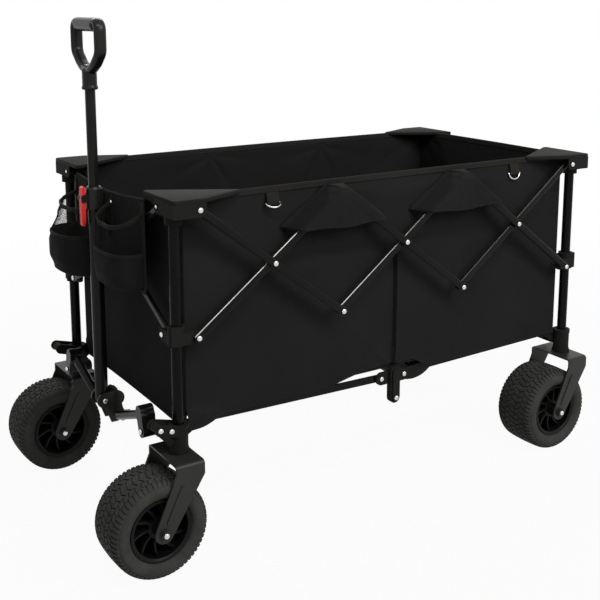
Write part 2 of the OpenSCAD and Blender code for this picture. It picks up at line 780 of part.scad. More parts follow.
// Collar that caps the lower tube and carries the lock lever between two ears
module handle_collar() {
    collar_r = handle_d / 2 + 2.5;
    ear_gap = 12 + 2 * slide_gap;
    ear_t = 3;
    color("#202022") difference() {
        union() {
            translate([handle_x, 0, collar_bottom_z]) {
                cylinder(r = collar_r, h = collar_h - 4);
                translate([0, 0, collar_h - 4]) cylinder(r1 = collar_r, r2 = collar_r - 2.5, h = 4);
            }
            for (s = [-1, 1]) translate([0, s * (ear_gap + ear_t) / 2, 0]) xz_plate(-ear_t / 2, ear_t / 2)
                translate([lever_x, lever_pivot_z]) slot(handle_x - lever_x - 8, 14);
            translate([lever_x, 0, lever_pivot_z]) along_y(-ear_gap / 2 - 1, ear_gap / 2 + 1, 2);
        }
        translate([handle_x, 0, collar_bottom_z - 1]) cylinder(d = handle_bore, h = collar_h + 2);
    }
}

// Lever that lifts the telescope's lock pin when its lower end is pressed
module lock_lever() {
    up = collar_top_z - lever_pivot_z;
    width = 12;
    color("#c8201c") translate([lever_x, 0, lever_pivot_z]) difference() {
        xz_plate(-width / 2, width / 2) {
            circle(r = 5.5);
            polygon([
                [-4.5, up], [0, up + 2], [3, up], [3, 0], [2, up - lever_h + 6], [-1, up - lever_h],
                [-5, up - lever_h + 2], [-5.5, 0]
            ]);
        }
        along_y(-width, width, 2 + run_gap);
    }
}

module handle_slide() {
    low = grip_z - slide_l;
    color("#161617") translate([handle_x, 0, low]) difference() {
        cylinder(d = inner_d, h = grip_z + grip_seat - low);
        translate([0, 0, -1]) cylinder(d = inner_d - 2 * handle_wall, h = grip_z);
    }
}

// Grip on a ferrule: two flat arms that taper in to the ferrule, and a round bar across their tops
module handle_grip() {
    bar_r = grip_bar_d / 2;
    ferrule_r = inner_d / 2 + 4;
    ferrule_h = 36;
    arm_w = 14;
    color("#18181a") translate([handle_x, 0, grip_z]) difference() {
        union() {
            cylinder(r = ferrule_r, h = ferrule_h);
            cylinder(r = ferrule_r + 1.5, h = 6);
            yz_plate(-grip_depth / 2, grip_depth / 2) difference() {
                grip_outline(0, grip_h);
                grip_outline(arm_w, grip_h - grip_bar_d);
            }
            translate([0, 0, grip_h - bar_r]) along_y(-grip_w / 2 + 9, grip_w / 2 - 9, bar_r);
        }
        translate([0, 0, -1]) cylinder(d = inner_d + 2 * seat_gap, h = 18);
    }
}

// Upright outline that tapers to its foot, drawn in by a wall on all sides
module grip_outline(wall, high) {
    top_r = max(22 - wall, 8);
    side_r = 26 - wall;
    low_r = 15 - wall;
    hull() {
        for (s = [-1, 1]) {
            translate([s * (grip_w / 2 - wall - top_r), high - top_r]) circle(r = top_r);
            translate([s * (grip_w / 2 - wall - side_r), grip_h - 53]) circle(r = side_r);
        }
        translate([0, 45]) circle(r = low_r);
    }
}

// Fabric

// Open tub, hung under the corner caps, with flaps that fold over the upper joints
module tub() {
    wall_top = rim_z;
    color("#131314") {
        difference() {
            box([mid_x - tub_x, -tub_y, tub_bottom_z], [mid_x + tub_x, tub_y, wall_top]);
            box([mid_x - tub_x + fabric_t, -tub_y + fabric_t, tub_bottom_z + fabric_t],
                [mid_x + tub_x - fabric_t, tub_y - fabric_t, wall_top + 1]);
        }
        flap_y = half_y + side_reach + rivet_head_h + 1;
        for (s = [-1, 1]) for (u = [1, 2]) {
            x = front_x + side_pivot_in + u * bar_span;
            mirror([0, s == 1 ? 1 : 0, 0]) {
                xz_plate(-flap_y - fabric_t, -flap_y) polygon([
                    [x - flap_top_w / 2, wall_top], [x + flap_top_w / 2, wall_top],
                    [x + flap_low_w / 2, wall_top - flap_h], [x - flap_low_w / 2, wall_top - flap_h]
                ]);
                box([x - flap_top_w / 2, -flap_y - 1, wall_top - fabric_t],
                    [x + flap_top_w / 2, -tub_y + 1, wall_top]);
            }
        }
    }
}

module floor_board() {
    edge = fabric_t + 5;
    z0 = tub_bottom_z + fabric_t + 0.3;
    panel_gap = 4;
    length = 2 * (tub_x - edge);
    panel = (length - 3 * panel_gap) / 4;
    color("#131314") for (i = [0 : 3]) {
        x0 = mid_x - length / 2 + i * (panel + panel_gap);
        box([x0, -tub_y + edge, z0], [x0 + panel, tub_y - edge, z0 + floor_t]);
    }
}

// Two open pouches that hang from the rim in front of the end bars, either side of the handle
module pouches() {
    back = front_x - end_reach - rivet_head_h - 0.5;
    lid = mid_x - tub_x - 0.3;
    shell = 3;
    far_y = -pouch_in - pouch_w;
    color("#131314") for (m = [0, 1]) mirror([0, m, 0]) {
        difference() {
            translate([back, far_y, pouch_bottom_z]) linear_extrude(pouch_h) pouch_plan(0);
            translate([back, far_y, pouch_bottom_z + shell]) linear_extrude(pouch_h) pouch_plan(shell);
        }
        // Back panel up to the rim, and the strip that reaches the tub
        box([back - shell + 0.4, far_y + 0.5, pouch_bottom_z + pouch_h - 5],
            [back - 0.4, -pouch_in - 0.5, rim_z - 1]);
        box([back - shell, far_y, rim_z - fabric_t], [lid, -pouch_in, rim_z]);
    }
}

// Plan of a pouch with rounded front corners, drawn in by a wall on all sides
module pouch_plan(wall) {
    round_r = 42 - wall;
    front = -pouch_out + wall;
    intersection() {
        translate([front, wall]) square([pouch_out - 2 * wall, pouch_w - 2 * wall]);
        hull() for (x = [front + round_r, 0]) for (y = [wall + round_r, pouch_w - wall - round_r])
            translate([x, y]) circle(r = round_r);
    }
}

// Tie-down rings on the side walls, hanging from the rim
module tie_rings() {
    r = ring_w / 2 - ring_wire / 2;
    y = -tub_y - ring_wire / 2 - slide_gap;
    color("silver") for (s = [0, 1]) mirror([0, s, 0]) for (u = [0.5, 2.5])
        translate([front_x + side_pivot_in + u * bar_span, y, rim_z - 14]) rotate([90, 0, 0]) {
            rotate([0, 0, 180]) rotate_extrude(angle = 180) translate([r, 0]) circle(d = ring_wire);
            rotate([0, 90, 0]) cylinder(d = ring_wire, h = 2 * r + ring_wire, center = true);
        }
}

// Nodes

at_corner(FRONT, RIGHT) post();  // post_fr
at_corner(FRONT, LEFT) post();  // post_fl
at_corner(REAR, RIGHT) post();  // post_rr
at_corner(REAR, LEFT) post();  // post_rl
at_corner(FRONT, RIGHT) corner(FRONT, RIGHT);  // corner_fr
at_corner(FRONT, LEFT) corner(FRONT, LEFT);  // corner_fl
at_corner(REAR, RIGHT) corner(REAR, RIGHT);  // corner_rr
at_corner(REAR, LEFT) corner(REAR, LEFT);  // corner_rl
at_corner(FRONT, RIGHT) slider(FRONT, RIGHT);  // slider_fr
at_corner(FRONT, LEFT) slider(FRONT, LEFT);  // slider_fl
at_corner(REAR, RIGHT) slider(REAR, RIGHT);  // slider_rr
at_corner(REAR, LEFT) slider(REAR, LEFT);  // slider_rl
on_side(RIGHT) side_bar(1);  // bar_r1
on_side(RIGHT) side_bar(2);  // bar_r2
on_side(RIGHT) side_bar(3);  // bar_r3
on_side(RIGHT) side_bar(4);  // bar_r4
on_side(RIGHT) side_bar(5);  // bar_r5
on_side(RIGHT) side_bar(6);  // bar_r6
on_side(LEFT) side_bar(1);  // bar_l1
on_side(LEFT) side_bar(2);  // bar_l2
on_side(LEFT) side_bar(3);  // bar_l3
on_side(LEFT) side_bar(4);  // bar_l4
on_side(LEFT) side_bar(5);  // bar_l5
on_side(LEFT) side_bar(6);  // bar_l6
end_bar(FRONT, true);  // front_bar_a
end_bar(FRONT, false);  // front_bar_b
end_bar(REAR, true);  // rear_bar_a
end_bar(REAR, false);  // rear_bar_b
translate([front_x, -half_y, 0]) fork();  // fork_fr
translate([front_x, half_y, 0]) fork();  // fork_fl
translate([rear_x, -half_y, 0]) fork();  // fork_rr
translate([rear_x, half_y, 0]) fork();  // fork_rl
translate([front_x, -half_y, 0]) rim();  // rim_fr
translate([front_x, half_y, 0]) rim();  // rim_fl
translate([rear_x, -half_y, 0]) rim();  // rim_rr
translate([rear_x, half_y, 0]) rim();  // rim_rl
translate([front_x, -half_y, 0]) tyre();  // tyre_fr
translate([front_x, half_y, 0]) tyre();  // tyre_fl
translate([rear_x, -half_y, 0]) tyre();  // tyre_rr
translate([rear_x, half_y, 0]) tyre();  // tyre_rl
handle_tube();
handle_collar();
lock_lever();
handle_slide();
handle_grip();
handle_bracket();
at_corner(FRONT, RIGHT) front_link(true);  // front_link_r
at_corner(FRONT, LEFT) front_link(false);  // front_link_l
at_corner(REAR, RIGHT) rear_link(true);  // rear_link_r
at_corner(REAR, LEFT) rear_link(false);  // rear_link_l
on_side(RIGHT) side_hub();  // side_hub_r
on_side(LEFT) side_hub();  // side_hub_l
at_corner(FRONT, RIGHT) floor_link(FRONT);  // floor_link_fr
at_corner(FRONT, LEFT) floor_link(FRONT);  // floor_link_fl
at_corner(REAR, RIGHT) floor_link(REAR);  // floor_link_rr
at_corner(REAR, LEFT) floor_link(REAR);  // floor_link_rl
tub();
floor_board();
pouches();
tie_rings();
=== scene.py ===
# %% [markdown]
# A folding camp wagon, dressed for a picture.
# The hard pieces (posts, scissor bars, mouldings, forks, rims and handle tubes) come from the CAD frame and
# only need a finish. The soft pieces (tub, flaps, pouches) and the fine ones (tyre tread, rivets, grip) are
# made here. All is in metres, in the frame's own coordinates: the handle is at -X and the ground is z = 0.

# %% Load the frame
import json
import math
from contextlib import contextmanager

import bpy
from mathutils import Matrix, Vector, noise


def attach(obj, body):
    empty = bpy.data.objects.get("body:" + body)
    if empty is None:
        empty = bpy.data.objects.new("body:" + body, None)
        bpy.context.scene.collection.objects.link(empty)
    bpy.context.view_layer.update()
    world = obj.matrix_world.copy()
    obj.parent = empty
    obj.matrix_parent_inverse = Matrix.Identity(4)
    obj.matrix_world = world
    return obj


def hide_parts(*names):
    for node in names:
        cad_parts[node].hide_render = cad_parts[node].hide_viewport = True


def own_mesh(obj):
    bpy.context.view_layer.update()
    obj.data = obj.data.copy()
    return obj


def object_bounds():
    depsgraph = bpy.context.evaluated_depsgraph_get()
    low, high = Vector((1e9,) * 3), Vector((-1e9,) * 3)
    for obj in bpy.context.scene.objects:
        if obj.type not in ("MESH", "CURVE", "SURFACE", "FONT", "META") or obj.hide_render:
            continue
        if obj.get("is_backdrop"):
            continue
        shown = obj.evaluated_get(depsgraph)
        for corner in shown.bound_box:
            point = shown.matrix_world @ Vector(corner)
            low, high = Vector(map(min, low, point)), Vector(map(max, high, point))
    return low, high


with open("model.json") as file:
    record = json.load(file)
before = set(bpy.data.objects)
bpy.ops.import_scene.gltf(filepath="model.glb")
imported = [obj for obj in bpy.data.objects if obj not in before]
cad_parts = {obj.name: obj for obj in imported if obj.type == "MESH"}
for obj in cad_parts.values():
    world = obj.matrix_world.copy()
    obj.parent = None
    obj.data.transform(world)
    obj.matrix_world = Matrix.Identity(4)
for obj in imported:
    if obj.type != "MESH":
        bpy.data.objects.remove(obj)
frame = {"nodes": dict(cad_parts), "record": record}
cad_low, cad_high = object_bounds()
scene = bpy.context.scene
nodes = frame["nodes"]

# %% [markdown]
# The sizes that the soft pieces share with the frame. Naming them once keeps a wall, its binding and its
# stitches on the same lines. The sides are r and l, right and left; the ends are f and r, front and rear.

# %% Shared sizes
FRONT_X, REAR_X, MID_X, HALF_Y = -0.419, 0.531, 0.056, 0.245
PIVOT_X, BAR_SPAN = FRONT_X + 0.032, 0.886 / 3
TOP_Z, MID_Z, SLIDER_Z = 0.636, 0.5235, 0.411
TUB_FRONT, TUB_REAR, TUB_Y = -0.399, 0.511, 0.237
RIM_Z, SKIRT_Z, FLOOR_Z = 0.651, 0.2465, 0.2645
AXLE_Z, AXLE_X = 0.090, {"f": FRONT_X - 0.056, "r": REAR_X - 0.056}
SIDES, ENDS = {"r": -1, "l": 1}, {"f": (FRONT_X, -1), "r": (REAR_X, 1)}


def pivot_x(spans):
    """Place along a long side of a pivot of the bars, counted in bar spans from the front post."""
    return PIVOT_X + spans * BAR_SPAN


# %% [markdown]
# The camera stands in front of the right-hand corner, at about waist height, with a slightly long lens. It
# looks down a little, and a shift of the lens then places the wagon in the picture, with room for the handle.

# %% Camera
CAMERA_AT, LOOK_DOWN, LOOK_ALONG = (-1.128, -1.730, 0.972), 10.57, 57.10
LENS_MM, SENSOR_MM, LENS_SHIFT = 60, 36, -0.183


def new_object(name, data):
    """A new object in the scene for a mesh, a curve, a lamp or a camera."""
    made = bpy.data.objects.new(name, data)
    scene.collection.objects.link(made)
    return made


camera = new_object("camera", bpy.data.cameras.new("camera"))
camera.location = CAMERA_AT
camera.rotation_euler = (math.radians(90 - LOOK_DOWN), 0, math.radians(LOOK_ALONG - 90))
camera.data.lens = LENS_MM
camera.data.sensor_width = SENSOR_MM
camera.data.shift_y = LENS_SHIFT
scene.camera = camera
print("camera at", tuple(round(c, 3) for c in camera.location))

# %% [markdown]
# Shader graphs are easier to read as sums than as node calls. A small class wraps a socket: adding or
# multiplying two wrapped sockets adds a Math node, and one method adds any other node. That method takes an
# input by its name, or by its number as at0, at1 and so on.


# %% Shader sums
class Flow:
    """A shader socket that can be used in Python sums."""

    def __init__(self, tree, socket=None):
        self.tree, self.socket = tree, socket

    def add(self, kind, settings=None, out=0, **inputs):
        node = self.tree.nodes.new(kind)
        for key, value in (settings or {}).items():
            setattr(node, key, value)
        for key, value in inputs.items():
            at = int(key[2:]) if key.startswith("at") else key.replace("_", " ")
            if isinstance(value, Flow):
                self.tree.links.new(value.socket, node.inputs[at])
            else:
                node.inputs[at].default_value = value
        return Flow(self.tree, node.outputs[out])

    def sum(self, operation, *values):
        inputs = {f"at{i}": value for i, value in enumerate(values)}
        return self.add("ShaderNodeMath", {"operation": operation}, **inputs)

    def __add__(self, other):
        return self.sum("ADD", self, other)

    def __sub__(self, other):
        return self.sum("SUBTRACT", self, other)

    def __rsub__(self, other):
        return self.sum("SUBTRACT", other, self)

    def __mul__(self, other):
        return self.sum("MULTIPLY", self, other)

    __radd__, __rmul__ = __add__, __mul__

    def noise(self, where, scale, detail=3.0, rough=0.5):
        return self.add("ShaderNodeTexNoise", Vector=where, Scale=scale, Detail=detail, Roughness=rough)

    def ramp(self, low, high, low_value=0.0, high_value=1.0):
        return self.add("ShaderNodeMapRange", {"clamp": True}, Value=self, From_Min=low, From_Max=high,
                        To_Min=low_value, To_Max=high_value)

    def tint(self, mask, first, second):
        first, second = (c if isinstance(c, Flow) else (*c, 1) for c in (first, second))
        return self.add("ShaderNodeMix", {"data_type": "RGBA"}, out=2, at0=mask, at6=first, at7=second)

    def axes(self, where):
        node = self.add("ShaderNodeSeparateXYZ", Vector=where).socket.node
        return [Flow(self.tree, socket) for socket in node.outputs]


print("a sum of sockets becomes Math nodes")

# %% [markdown]
# Every finish starts alike: a material with its main shader and its Object coordinates. A value that varies
# is linked to a socket, and one that doesn't is set on it.


# %% Material helpers
def new_material(name):
    """A fresh material: its flow, its main shader and its Object coordinates."""
    made = bpy.data.materials.new(name)
    made.use_nodes = True
    flow = Flow(made.node_tree)
    shader = made.node_tree.nodes["Principled BSDF"]
    return made, flow, shader, flow.add("ShaderNodeTexCoord", out=3)


def feed(shader, name, value):
    """Links a varying value to a socket of the main shader, or sets a constant on it."""
    if isinstance(value, Flow):
        value.tree.links.new(value.socket, shader.inputs[name])
    else:
        shader.inputs[name].default_value = value


def bump(flow, shader, height, distance, strength=1.0):
    feed(shader, "Normal", flow.add("ShaderNodeBump", Height=height, Distance=distance, Strength=strength))


def scaled(shade, by):
    return tuple(c * by for c in shade)


print("material helpers ready")

# %% [markdown]
# Paint on steel tube is nearly black, with a slight orange peel, a haze of handling marks and dust that
# settles in broad patches. The rising bars carry a painted highlight: a thin bright line of metallic steel
# colour along their upper edge, which is placed by its height above the middle of the bar.


# %% Paint
# Colour and extra roughness of the painted highlight line, its heights above a bar's middle, and the orange
# peel's depth.
HIGHLIGHT_STEEL, HIGHLIGHT_ROUGH, PEEL_DEPTH = (0.40, 0.40, 0.385), 0.30, 0.00004
LINE_LOW, LINE_HIGH, LINE_SOFT = 0.0071, 0.0092, 0.0006


def painted(name, shade, gloss, shine, worn=None):
    """Black paint; its last argument, if given, places a painted highlight: a thin line of metallic steel
    colour.
    """
    made, flow, shader, where = new_material(name)
    patches = flow.noise(where, scale=9, detail=4).ramp(0.35, 0.7)
    marks = flow.noise(where, scale=160, detail=5, rough=0.65).ramp(0.52, 0.75)
    colour = flow.tint(patches * 0.6 + marks * 0.25, shade, scaled(shade, 1.7))
    rough = patches * 0.07 + marks * 0.10 + gloss
    if worn:
        # Painted highlight: the mask mixes in a metallic steel colour and more roughness.
        lit_line = worn(flow, where)
        colour = flow.tint(lit_line, colour, HIGHLIGHT_STEEL)
        rough = rough + lit_line * HIGHLIGHT_ROUGH
        feed(shader, "Metallic", lit_line)
    feed(shader, "Base Color", colour)
    feed(shader, "Roughness", rough)
    bump(flow, shader, flow.noise(where, scale=420, detail=2) + marks * 0.25, PEEL_DEPTH)
    feed(shader, "Specular IOR Level", shine)
    return made


def rubbed_edge(flow, where):
    """Mask of a painted highlight along the upper edge of the rising bars, brightest near the handle."""
    x, _, z = flow.axes(where)
    across = z - SLIDER_Z - (x - PIVOT_X) * ((TOP_Z - SLIDER_Z) / BAR_SPAN)
    across = flow.sum("FLOORED_MODULO", across, TOP_Z - SLIDER_Z)
    lower = across.ramp(LINE_LOW, LINE_LOW + LINE_SOFT)
    upper = across.ramp(LINE_HIGH - LINE_SOFT, LINE_HIGH, 1.0, 0.0)
    patchy = flow.noise(where, scale=45, detail=3).ramp(0.30, 0.50, 0.8, 1.0)
    # The painted highlight fades from the handle towards the rear, as a lamp's highlight does.
    return lower * upper * x.ramp(-0.10, 0.14, 1.0, 0.10) * patchy


BAR_BLACK = (0.0060, 0.0059, 0.0053)
BAR_PAINT = painted("bar_paint", BAR_BLACK, gloss=0.13, shine=0.09)
POST_PAINT = painted("post_paint", (0.0036, 0.0035, 0.0034), gloss=0.20, shine=0.07)
# The rising bars' paint carries the painted highlight line along its upper edge.
HIGHLIGHTED_BAR_PAINT = painted("rubbed_bar_paint", BAR_BLACK, gloss=0.13, shine=0.09, worn=rubbed_edge)
HANDLE_PAINT = painted("handle_paint", (0.0085, 0.0083, 0.0076), gloss=0.17, shine=0.12)
FORK_PAINT = painted("fork_paint", (0.0220, 0.0218, 0.0198), gloss=0.34, shine=0.20)
print("paints:", [made.name for made in (BAR_PAINT, POST_PAINT, HIGHLIGHTED_BAR_PAINT, HANDLE_PAINT, FORK_PAINT)])

# %% [markdown]
# Mouldings are nylon: matt on the corners, glossier on the grip, with a fine grain from the mould. Rivets and
# rings are plated steel, whose haze makes some places duller than others.


# %% Nylon and plated steel
def moulded(name, shade, dull, shine, grain=0.00007):
    made, flow, shader, where = new_material(name)
    broad = flow.noise(where, scale=14, detail=3).ramp(0.3, 0.75)
    fine = flow.noise(where, scale=1100, detail=2, rough=0.6)
    feed(shader, "Base Color", flow.tint(broad * 0.7 + fine * 0.2, shade, scaled(shade, 1.55)))
    feed(shader, "Roughness", broad * 0.10 + fine * 0.08 + dull)
    bump(flow, shader, fine, grain)
    feed(shader, "Specular IOR Level", shine)
    return made


def plated(name, shade, gloss):
    made, flow, shader, where = new_material(name)
    haze = flow.noise(where, scale=130, detail=4, rough=0.6).ramp(0.35, 0.75)
    feed(shader, "Base Color", flow.tint(haze, shade, scaled(shade, 0.78)))
    feed(shader, "Roughness", haze * 0.16 + gloss)
    feed(shader, "Metallic", 1.0)
    bump(flow, shader, flow.noise(where, scale=900, detail=2), 0.00002)
    return made


NYLON = moulded("corner_nylon", (0.0125, 0.0124, 0.0114), dull=0.62, shine=0.06)
GRIP_NYLON = moulded("grip_nylon", (0.0085, 0.0083, 0.0078), dull=0.20, shine=0.18, grain=0.00003)
RIM_NYLON = moulded("rim_nylon", (0.0060, 0.0059, 0.0057), dull=0.36, shine=0.10)
RED_NYLON = moulded("red_nylon", (0.62, 0.022, 0.016), dull=0.32, shine=0.30, grain=0.00003)
RIVET_STEEL = plated("rivet_steel", (0.70, 0.70, 0.69), gloss=0.24)
RING_STEEL = plated("ring_steel", (0.66, 0.66, 0.65), gloss=0.18)
print("mouldings: 4 nylons, 2 plated steels")

# %% [markdown]
# Tread compound is matt and a little grey with dust that settles in patches. The weave of the tub is two
# crossed sets of fine ridges: one runs up the walls, the other round them. Both follow Object coordinates, so
# walls, flaps and floor share one cloth.


# %% Tread and cloth
def tread_finish():
    made, flow, shader, where = new_material("tread_compound")
    dust = flow.noise(where, scale=38, detail=5, rough=0.6).ramp(0.35, 0.72)
    feed(shader, "Base Color", flow.tint(dust, (0.0450, 0.0445, 0.0410), (0.0680, 0.0670, 0.0615)))
    feed(shader, "Roughness", dust * 0.14 + 0.66)
    bump(flow, shader, flow.noise(where, scale=700, detail=3, rough=0.6), 0.00012)
    feed(shader, "Specular IOR Level", 0.06)
    return made


def woven(name, shade, pitch, depth, dull):
    """A weave with threads at a pitch; slubs, lint and faded patches keep it from looking printed."""
    made, flow, shader, where = new_material(name)
    x, y, z = flow.axes(where)
    turn = 2 * math.pi / pitch
    across = flow.sum("SINE", (x + y) * turn)
    along = flow.sum("SINE", (z + x * 0.35 - y * 0.35) * turn)
    weave = flow.sum("MAXIMUM", across, along)
    slub = flow.noise(where, scale=330, detail=3, rough=0.7)
    faded = flow.noise(where, scale=5, detail=4, rough=0.55).ramp(0.3, 0.72)
    lint = flow.noise(where, scale=1500, detail=2, rough=0.7).ramp(0.66, 0.8)
    feed(shader, "Base Color", flow.tint(faded * 0.55 + lint * 0.5 + slub * 0.15, shade, scaled(shade, 1.7)))
    feed(shader, "Roughness", faded * 0.10 + slub * 0.06 + dull)
    bump(flow, shader, weave * 0.5 + slub, depth, strength=0.7)
    feed(shader, "Specular IOR Level", 0.035)
    feed(shader, "Sheen Weight", 0.01)
    feed(shader, "Sheen Roughness", 0.45)
    return made


TREAD = tread_finish()
CLOTH = woven("tub_cloth", (0.0150, 0.0142, 0.0144), pitch=0.0014, depth=0.00018, dull=0.74)
TAPE = woven("binding_tape", (0.0195, 0.0189, 0.0168), pitch=0.0022, depth=0.00030, dull=0.66)
NET = woven("pouch_net", (0.0180, 0.0177, 0.0175), pitch=0.0009, depth=0.00008, dull=0.6)
THREAD = woven("stitch_thread", (0.0170, 0.0166, 0.0155), pitch=0.0006, depth=0.00006, dull=0.6)
print("soft finishes: tread, cloth, tape, net, thread")

# %% [markdown]
# Every CAD node already names its finish in the record, so the nodes get their materials from one table. Only
# the rising bars differ from it, because their paint carries a painted highlight line.

# %% Paint the frame
FINISH = {
    "post_steel": POST_PAINT, "bar_steel": BAR_PAINT, "fork_steel": FORK_PAINT, "handle_steel": HANDLE_PAINT,
    "moulding": NYLON, "grip_plastic": GRIP_NYLON, "lever_plastic": RED_NYLON, "rim_plastic": RIM_NYLON,
    "tyre": TREAD, "ring_steel": RING_STEEL, "fabric": CLOTH,
}
SLOT_OF = {row["node"]: row["material_slot"] for row in frame["record"]["subparts"]}
RISING_BARS = {f"bar_{side}{k}" for side in SIDES for k in (2, 4, 6)}
for node_name, node_object in nodes.items():
    finish = HIGHLIGHTED_BAR_PAINT if node_name in RISING_BARS else FINISH[SLOT_OF[node_name]]
    node_object.data.materials.clear()
    node_object.data.materials.append(finish)
print("painted", len(nodes), "nodes in", len(FINISH), "finishes")

# %% [markdown]
# A few helpers do what a hand does at every piece: select it alone, open it in edit mode, apply a modifier,
# name it and give it its finish, and hang it on a body of the frame.


# %% Piece helpers
def select_only(*pieces):
    """Selects these pieces and nothing else; the first becomes the active one."""
    bpy.ops.object.select_all(action="DESELECT")
    for piece in pieces:
        piece.select_set(True)
    if pieces:
        bpy.context.view_layer.objects.active = pieces[0]


@contextmanager
def edit_mode(piece, select=None):
    """Edit mode on one piece; select says whether all of it is selected or deselected first."""
    select_only(piece)
    bpy.ops.object.mode_set(mode="EDIT")
    if select:
        bpy.ops.mesh.select_all(action=select)
    yield
    bpy.ops.object.mode_set(mode="OBJECT")


def use_modifier(piece, kind, **settings):
    """Adds a modifier and applies it."""
    modifier = piece.modifiers.new(kind.lower(), kind)
    for key, value in settings.items():
        setattr(modifier, key, value)
    select_only(piece)
    bpy.ops.object.modifier_apply(modifier=modifier.name)


def finished(piece, name, finish, angle=35):
    """Names a piece, applies its place and gives it its finish; edges sharper than the angle stay crisp."""
    piece.name = piece.data.name = name
    piece.data.materials.clear()
    piece.data.materials.append(finish)
    select_only(piece)
    bpy.ops.object.transform_apply(location=True, rotation=True, scale=True)
    bpy.ops.object.shade_smooth_by_angle(angle=math.radians(angle))
    return piece


def hang(piece, body, slot):
    """Lets a piece ride on a body; slot is not used."""
    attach(piece, body)


def join(pieces, name):
    select_only(*pieces)
    bpy.ops.object.join()
    pieces[0].name = pieces[0].data.name = name
    return pieces[0]


def copies_of(model, places, name):
    """One piece made of copies of a model, each with its own mesh, at the given matrices."""
    made = []
    for place in places:
        twin = new_object(model.name, model.data.copy())
        twin.data.transform(place)
        made.append(twin)
    return join(made, name)


def drop(piece):
    bpy.data.objects.remove(piece)


print("piece helpers ready")

# %% [markdown]
# Each pivot has a bright domed rivet. One is modelled: a low cylinder whose upper edge is bevelled, so it
# catches the light as a bead. Copies sit on the black heads of the frame, one piece for each moving body. The
# lists give the rivets that look to the right and to the left, those of the bars and those low on the frame.


# %% Rivets
def rivet_model(radius, height, name):
    select_only()
    bpy.ops.mesh.primitive_cylinder_add(vertices=24, radius=radius, depth=height, location=(0, 0, height / 2))
    piece = bpy.context.object
    with edit_mode(piece, "DESELECT"):
        pass  # a new primitive is selected all over, so it is cleared before its upper edge is picked
    for edge in piece.data.edges:
        edge.select = all(piece.data.vertices[i].co.z > height * 0.4 for i in edge.vertices)
    with edit_mode(piece):
        bpy.ops.mesh.bevel(offset=height * 0.85, segments=4, profile=0.5)
    return finished(piece, name, RIVET_STEEL, 50)


def facing(spot, way):
    """A matrix that puts a model's +Z along a way, at a spot."""
    return Matrix.Translation(spot) @ Vector(way).to_track_quat("Z", "Y").to_matrix().to_4x4()


RIVET_R, RIVET_H, SMALL_HEAD = 0.0051, 0.0028, 0.66
CAP_FACE, BAR_FACE, FRONT_SLIDER, REAR_SLIDER = 0.2819, 0.2785, 0.2694, 0.2789
END_Y, END_FACE, END_BAR, END_SLIDER, LINK_Y, LINK_Z = 0.215, 0.0159, 0.0125, 0.0129, 0.041, 0.204
FOOT_Y, FOOT_Z, FOOT_FACE = 0.185, 0.228, {"f": 0.0444, "r": 0.0134}
BRACKET_FACE, FRONT_LINK_FACE, REAR_LINK_FACE = 0.0269, 0.0265, 0.017
BAR_RIVETS = [
    ("post_f{}_body", pivot_x(0), CAP_FACE, TOP_Z), ("post_r{}_body", pivot_x(3), CAP_FACE, TOP_Z),
    ("slider_f{}_body", pivot_x(0), FRONT_SLIDER, SLIDER_Z),
    ("slider_r{}_body", pivot_x(3), REAR_SLIDER, SLIDER_Z),
    ("scissor_{}1", pivot_x(0.5), BAR_FACE, MID_Z), ("scissor_{}1", pivot_x(1), BAR_FACE, SLIDER_Z),
    ("scissor_{}3", pivot_x(1), BAR_FACE, TOP_Z), ("scissor_{}3", pivot_x(1.5), BAR_FACE, MID_Z),
    ("scissor_{}3", pivot_x(2), BAR_FACE, SLIDER_Z), ("scissor_{}5", pivot_x(2), BAR_FACE, TOP_Z),
    ("scissor_{}5", pivot_x(2.5), BAR_FACE, MID_Z),
]
LOW_RIVETS = [
    ("side_hub_{}_body", MID_X - 0.028, 0.241, 0.241), ("side_hub_{}_body", MID_X + 0.028, 0.241, 0.241),
    ("side_hub_{}_body", MID_X, 0.253, 0.200),
    ("post_f{}_body", FRONT_X - 0.0205, 0.262, 0.2515), ("post_f{}_body", FRONT_X - 0.041, 0.262, 0.257),
    ("handle_bracket_body", FRONT_X - 0.043, 0.0179, FOOT_Z),
]
rivet_spots = {}


def rivet(body, spot, way, size=1.0):
    """Notes the place of a rivet on a body, and the way its head looks."""
    rivet_spots.setdefault(body, []).append(facing(spot, way) @ Matrix.Diagonal((size, size, 1, 1)))


for side, s in SIDES.items():
    for body, x, depth, z in BAR_RIVETS:
        rivet(body.format(side), (x, s * depth, z), (0, s, 0))
    for end, (x, way) in ENDS.items():
        post = f"post_{end}{side}_body"
        rivet(post, (x + way * END_FACE, s * END_Y, TOP_Z), (way, 0, 0), SMALL_HEAD)
        rivet(post, (x + way * FOOT_FACE[end], s * FOOT_Y, FOOT_Z), (way, 0, 0))
    for body, x, depth, z in LOW_RIVETS:
        rivet(body.format(side), (x, s * depth, z), (0, s, 0))
rivet("handle_bracket_body", (FRONT_X - BRACKET_FACE, -LINK_Y, LINK_Z), (-1, 0, 0))
rivet("front_link_l_body", (FRONT_X - FRONT_LINK_FACE, LINK_Y, LINK_Z), (-1, 0, 0))
rivet("rear_link_r_body", (REAR_X + REAR_LINK_FACE, 0, LINK_Z), (1, 0, 0))
for end, (x, way) in ENDS.items():
    bar = "front_bar_a_body" if end == "f" else "rear_bar_a_body"
    rivet(bar, (x + way * END_BAR, 0, MID_Z), (way, 0, 0))
    rivet(bar, (x + way * END_BAR, END_Y, SLIDER_Z), (way, 0, 0))
    rivet(f"slider_{end}r_body", (x + way * END_SLIDER, -END_Y, SLIDER_Z), (way, 0, 0))

one_rivet = rivet_model(RIVET_R, RIVET_H, "rivet")
for body, places in rivet_spots.items():
    hang(copies_of(one_rivet, places, f"rivets_{body}"), body, "ring_steel")
drop(one_rivet)

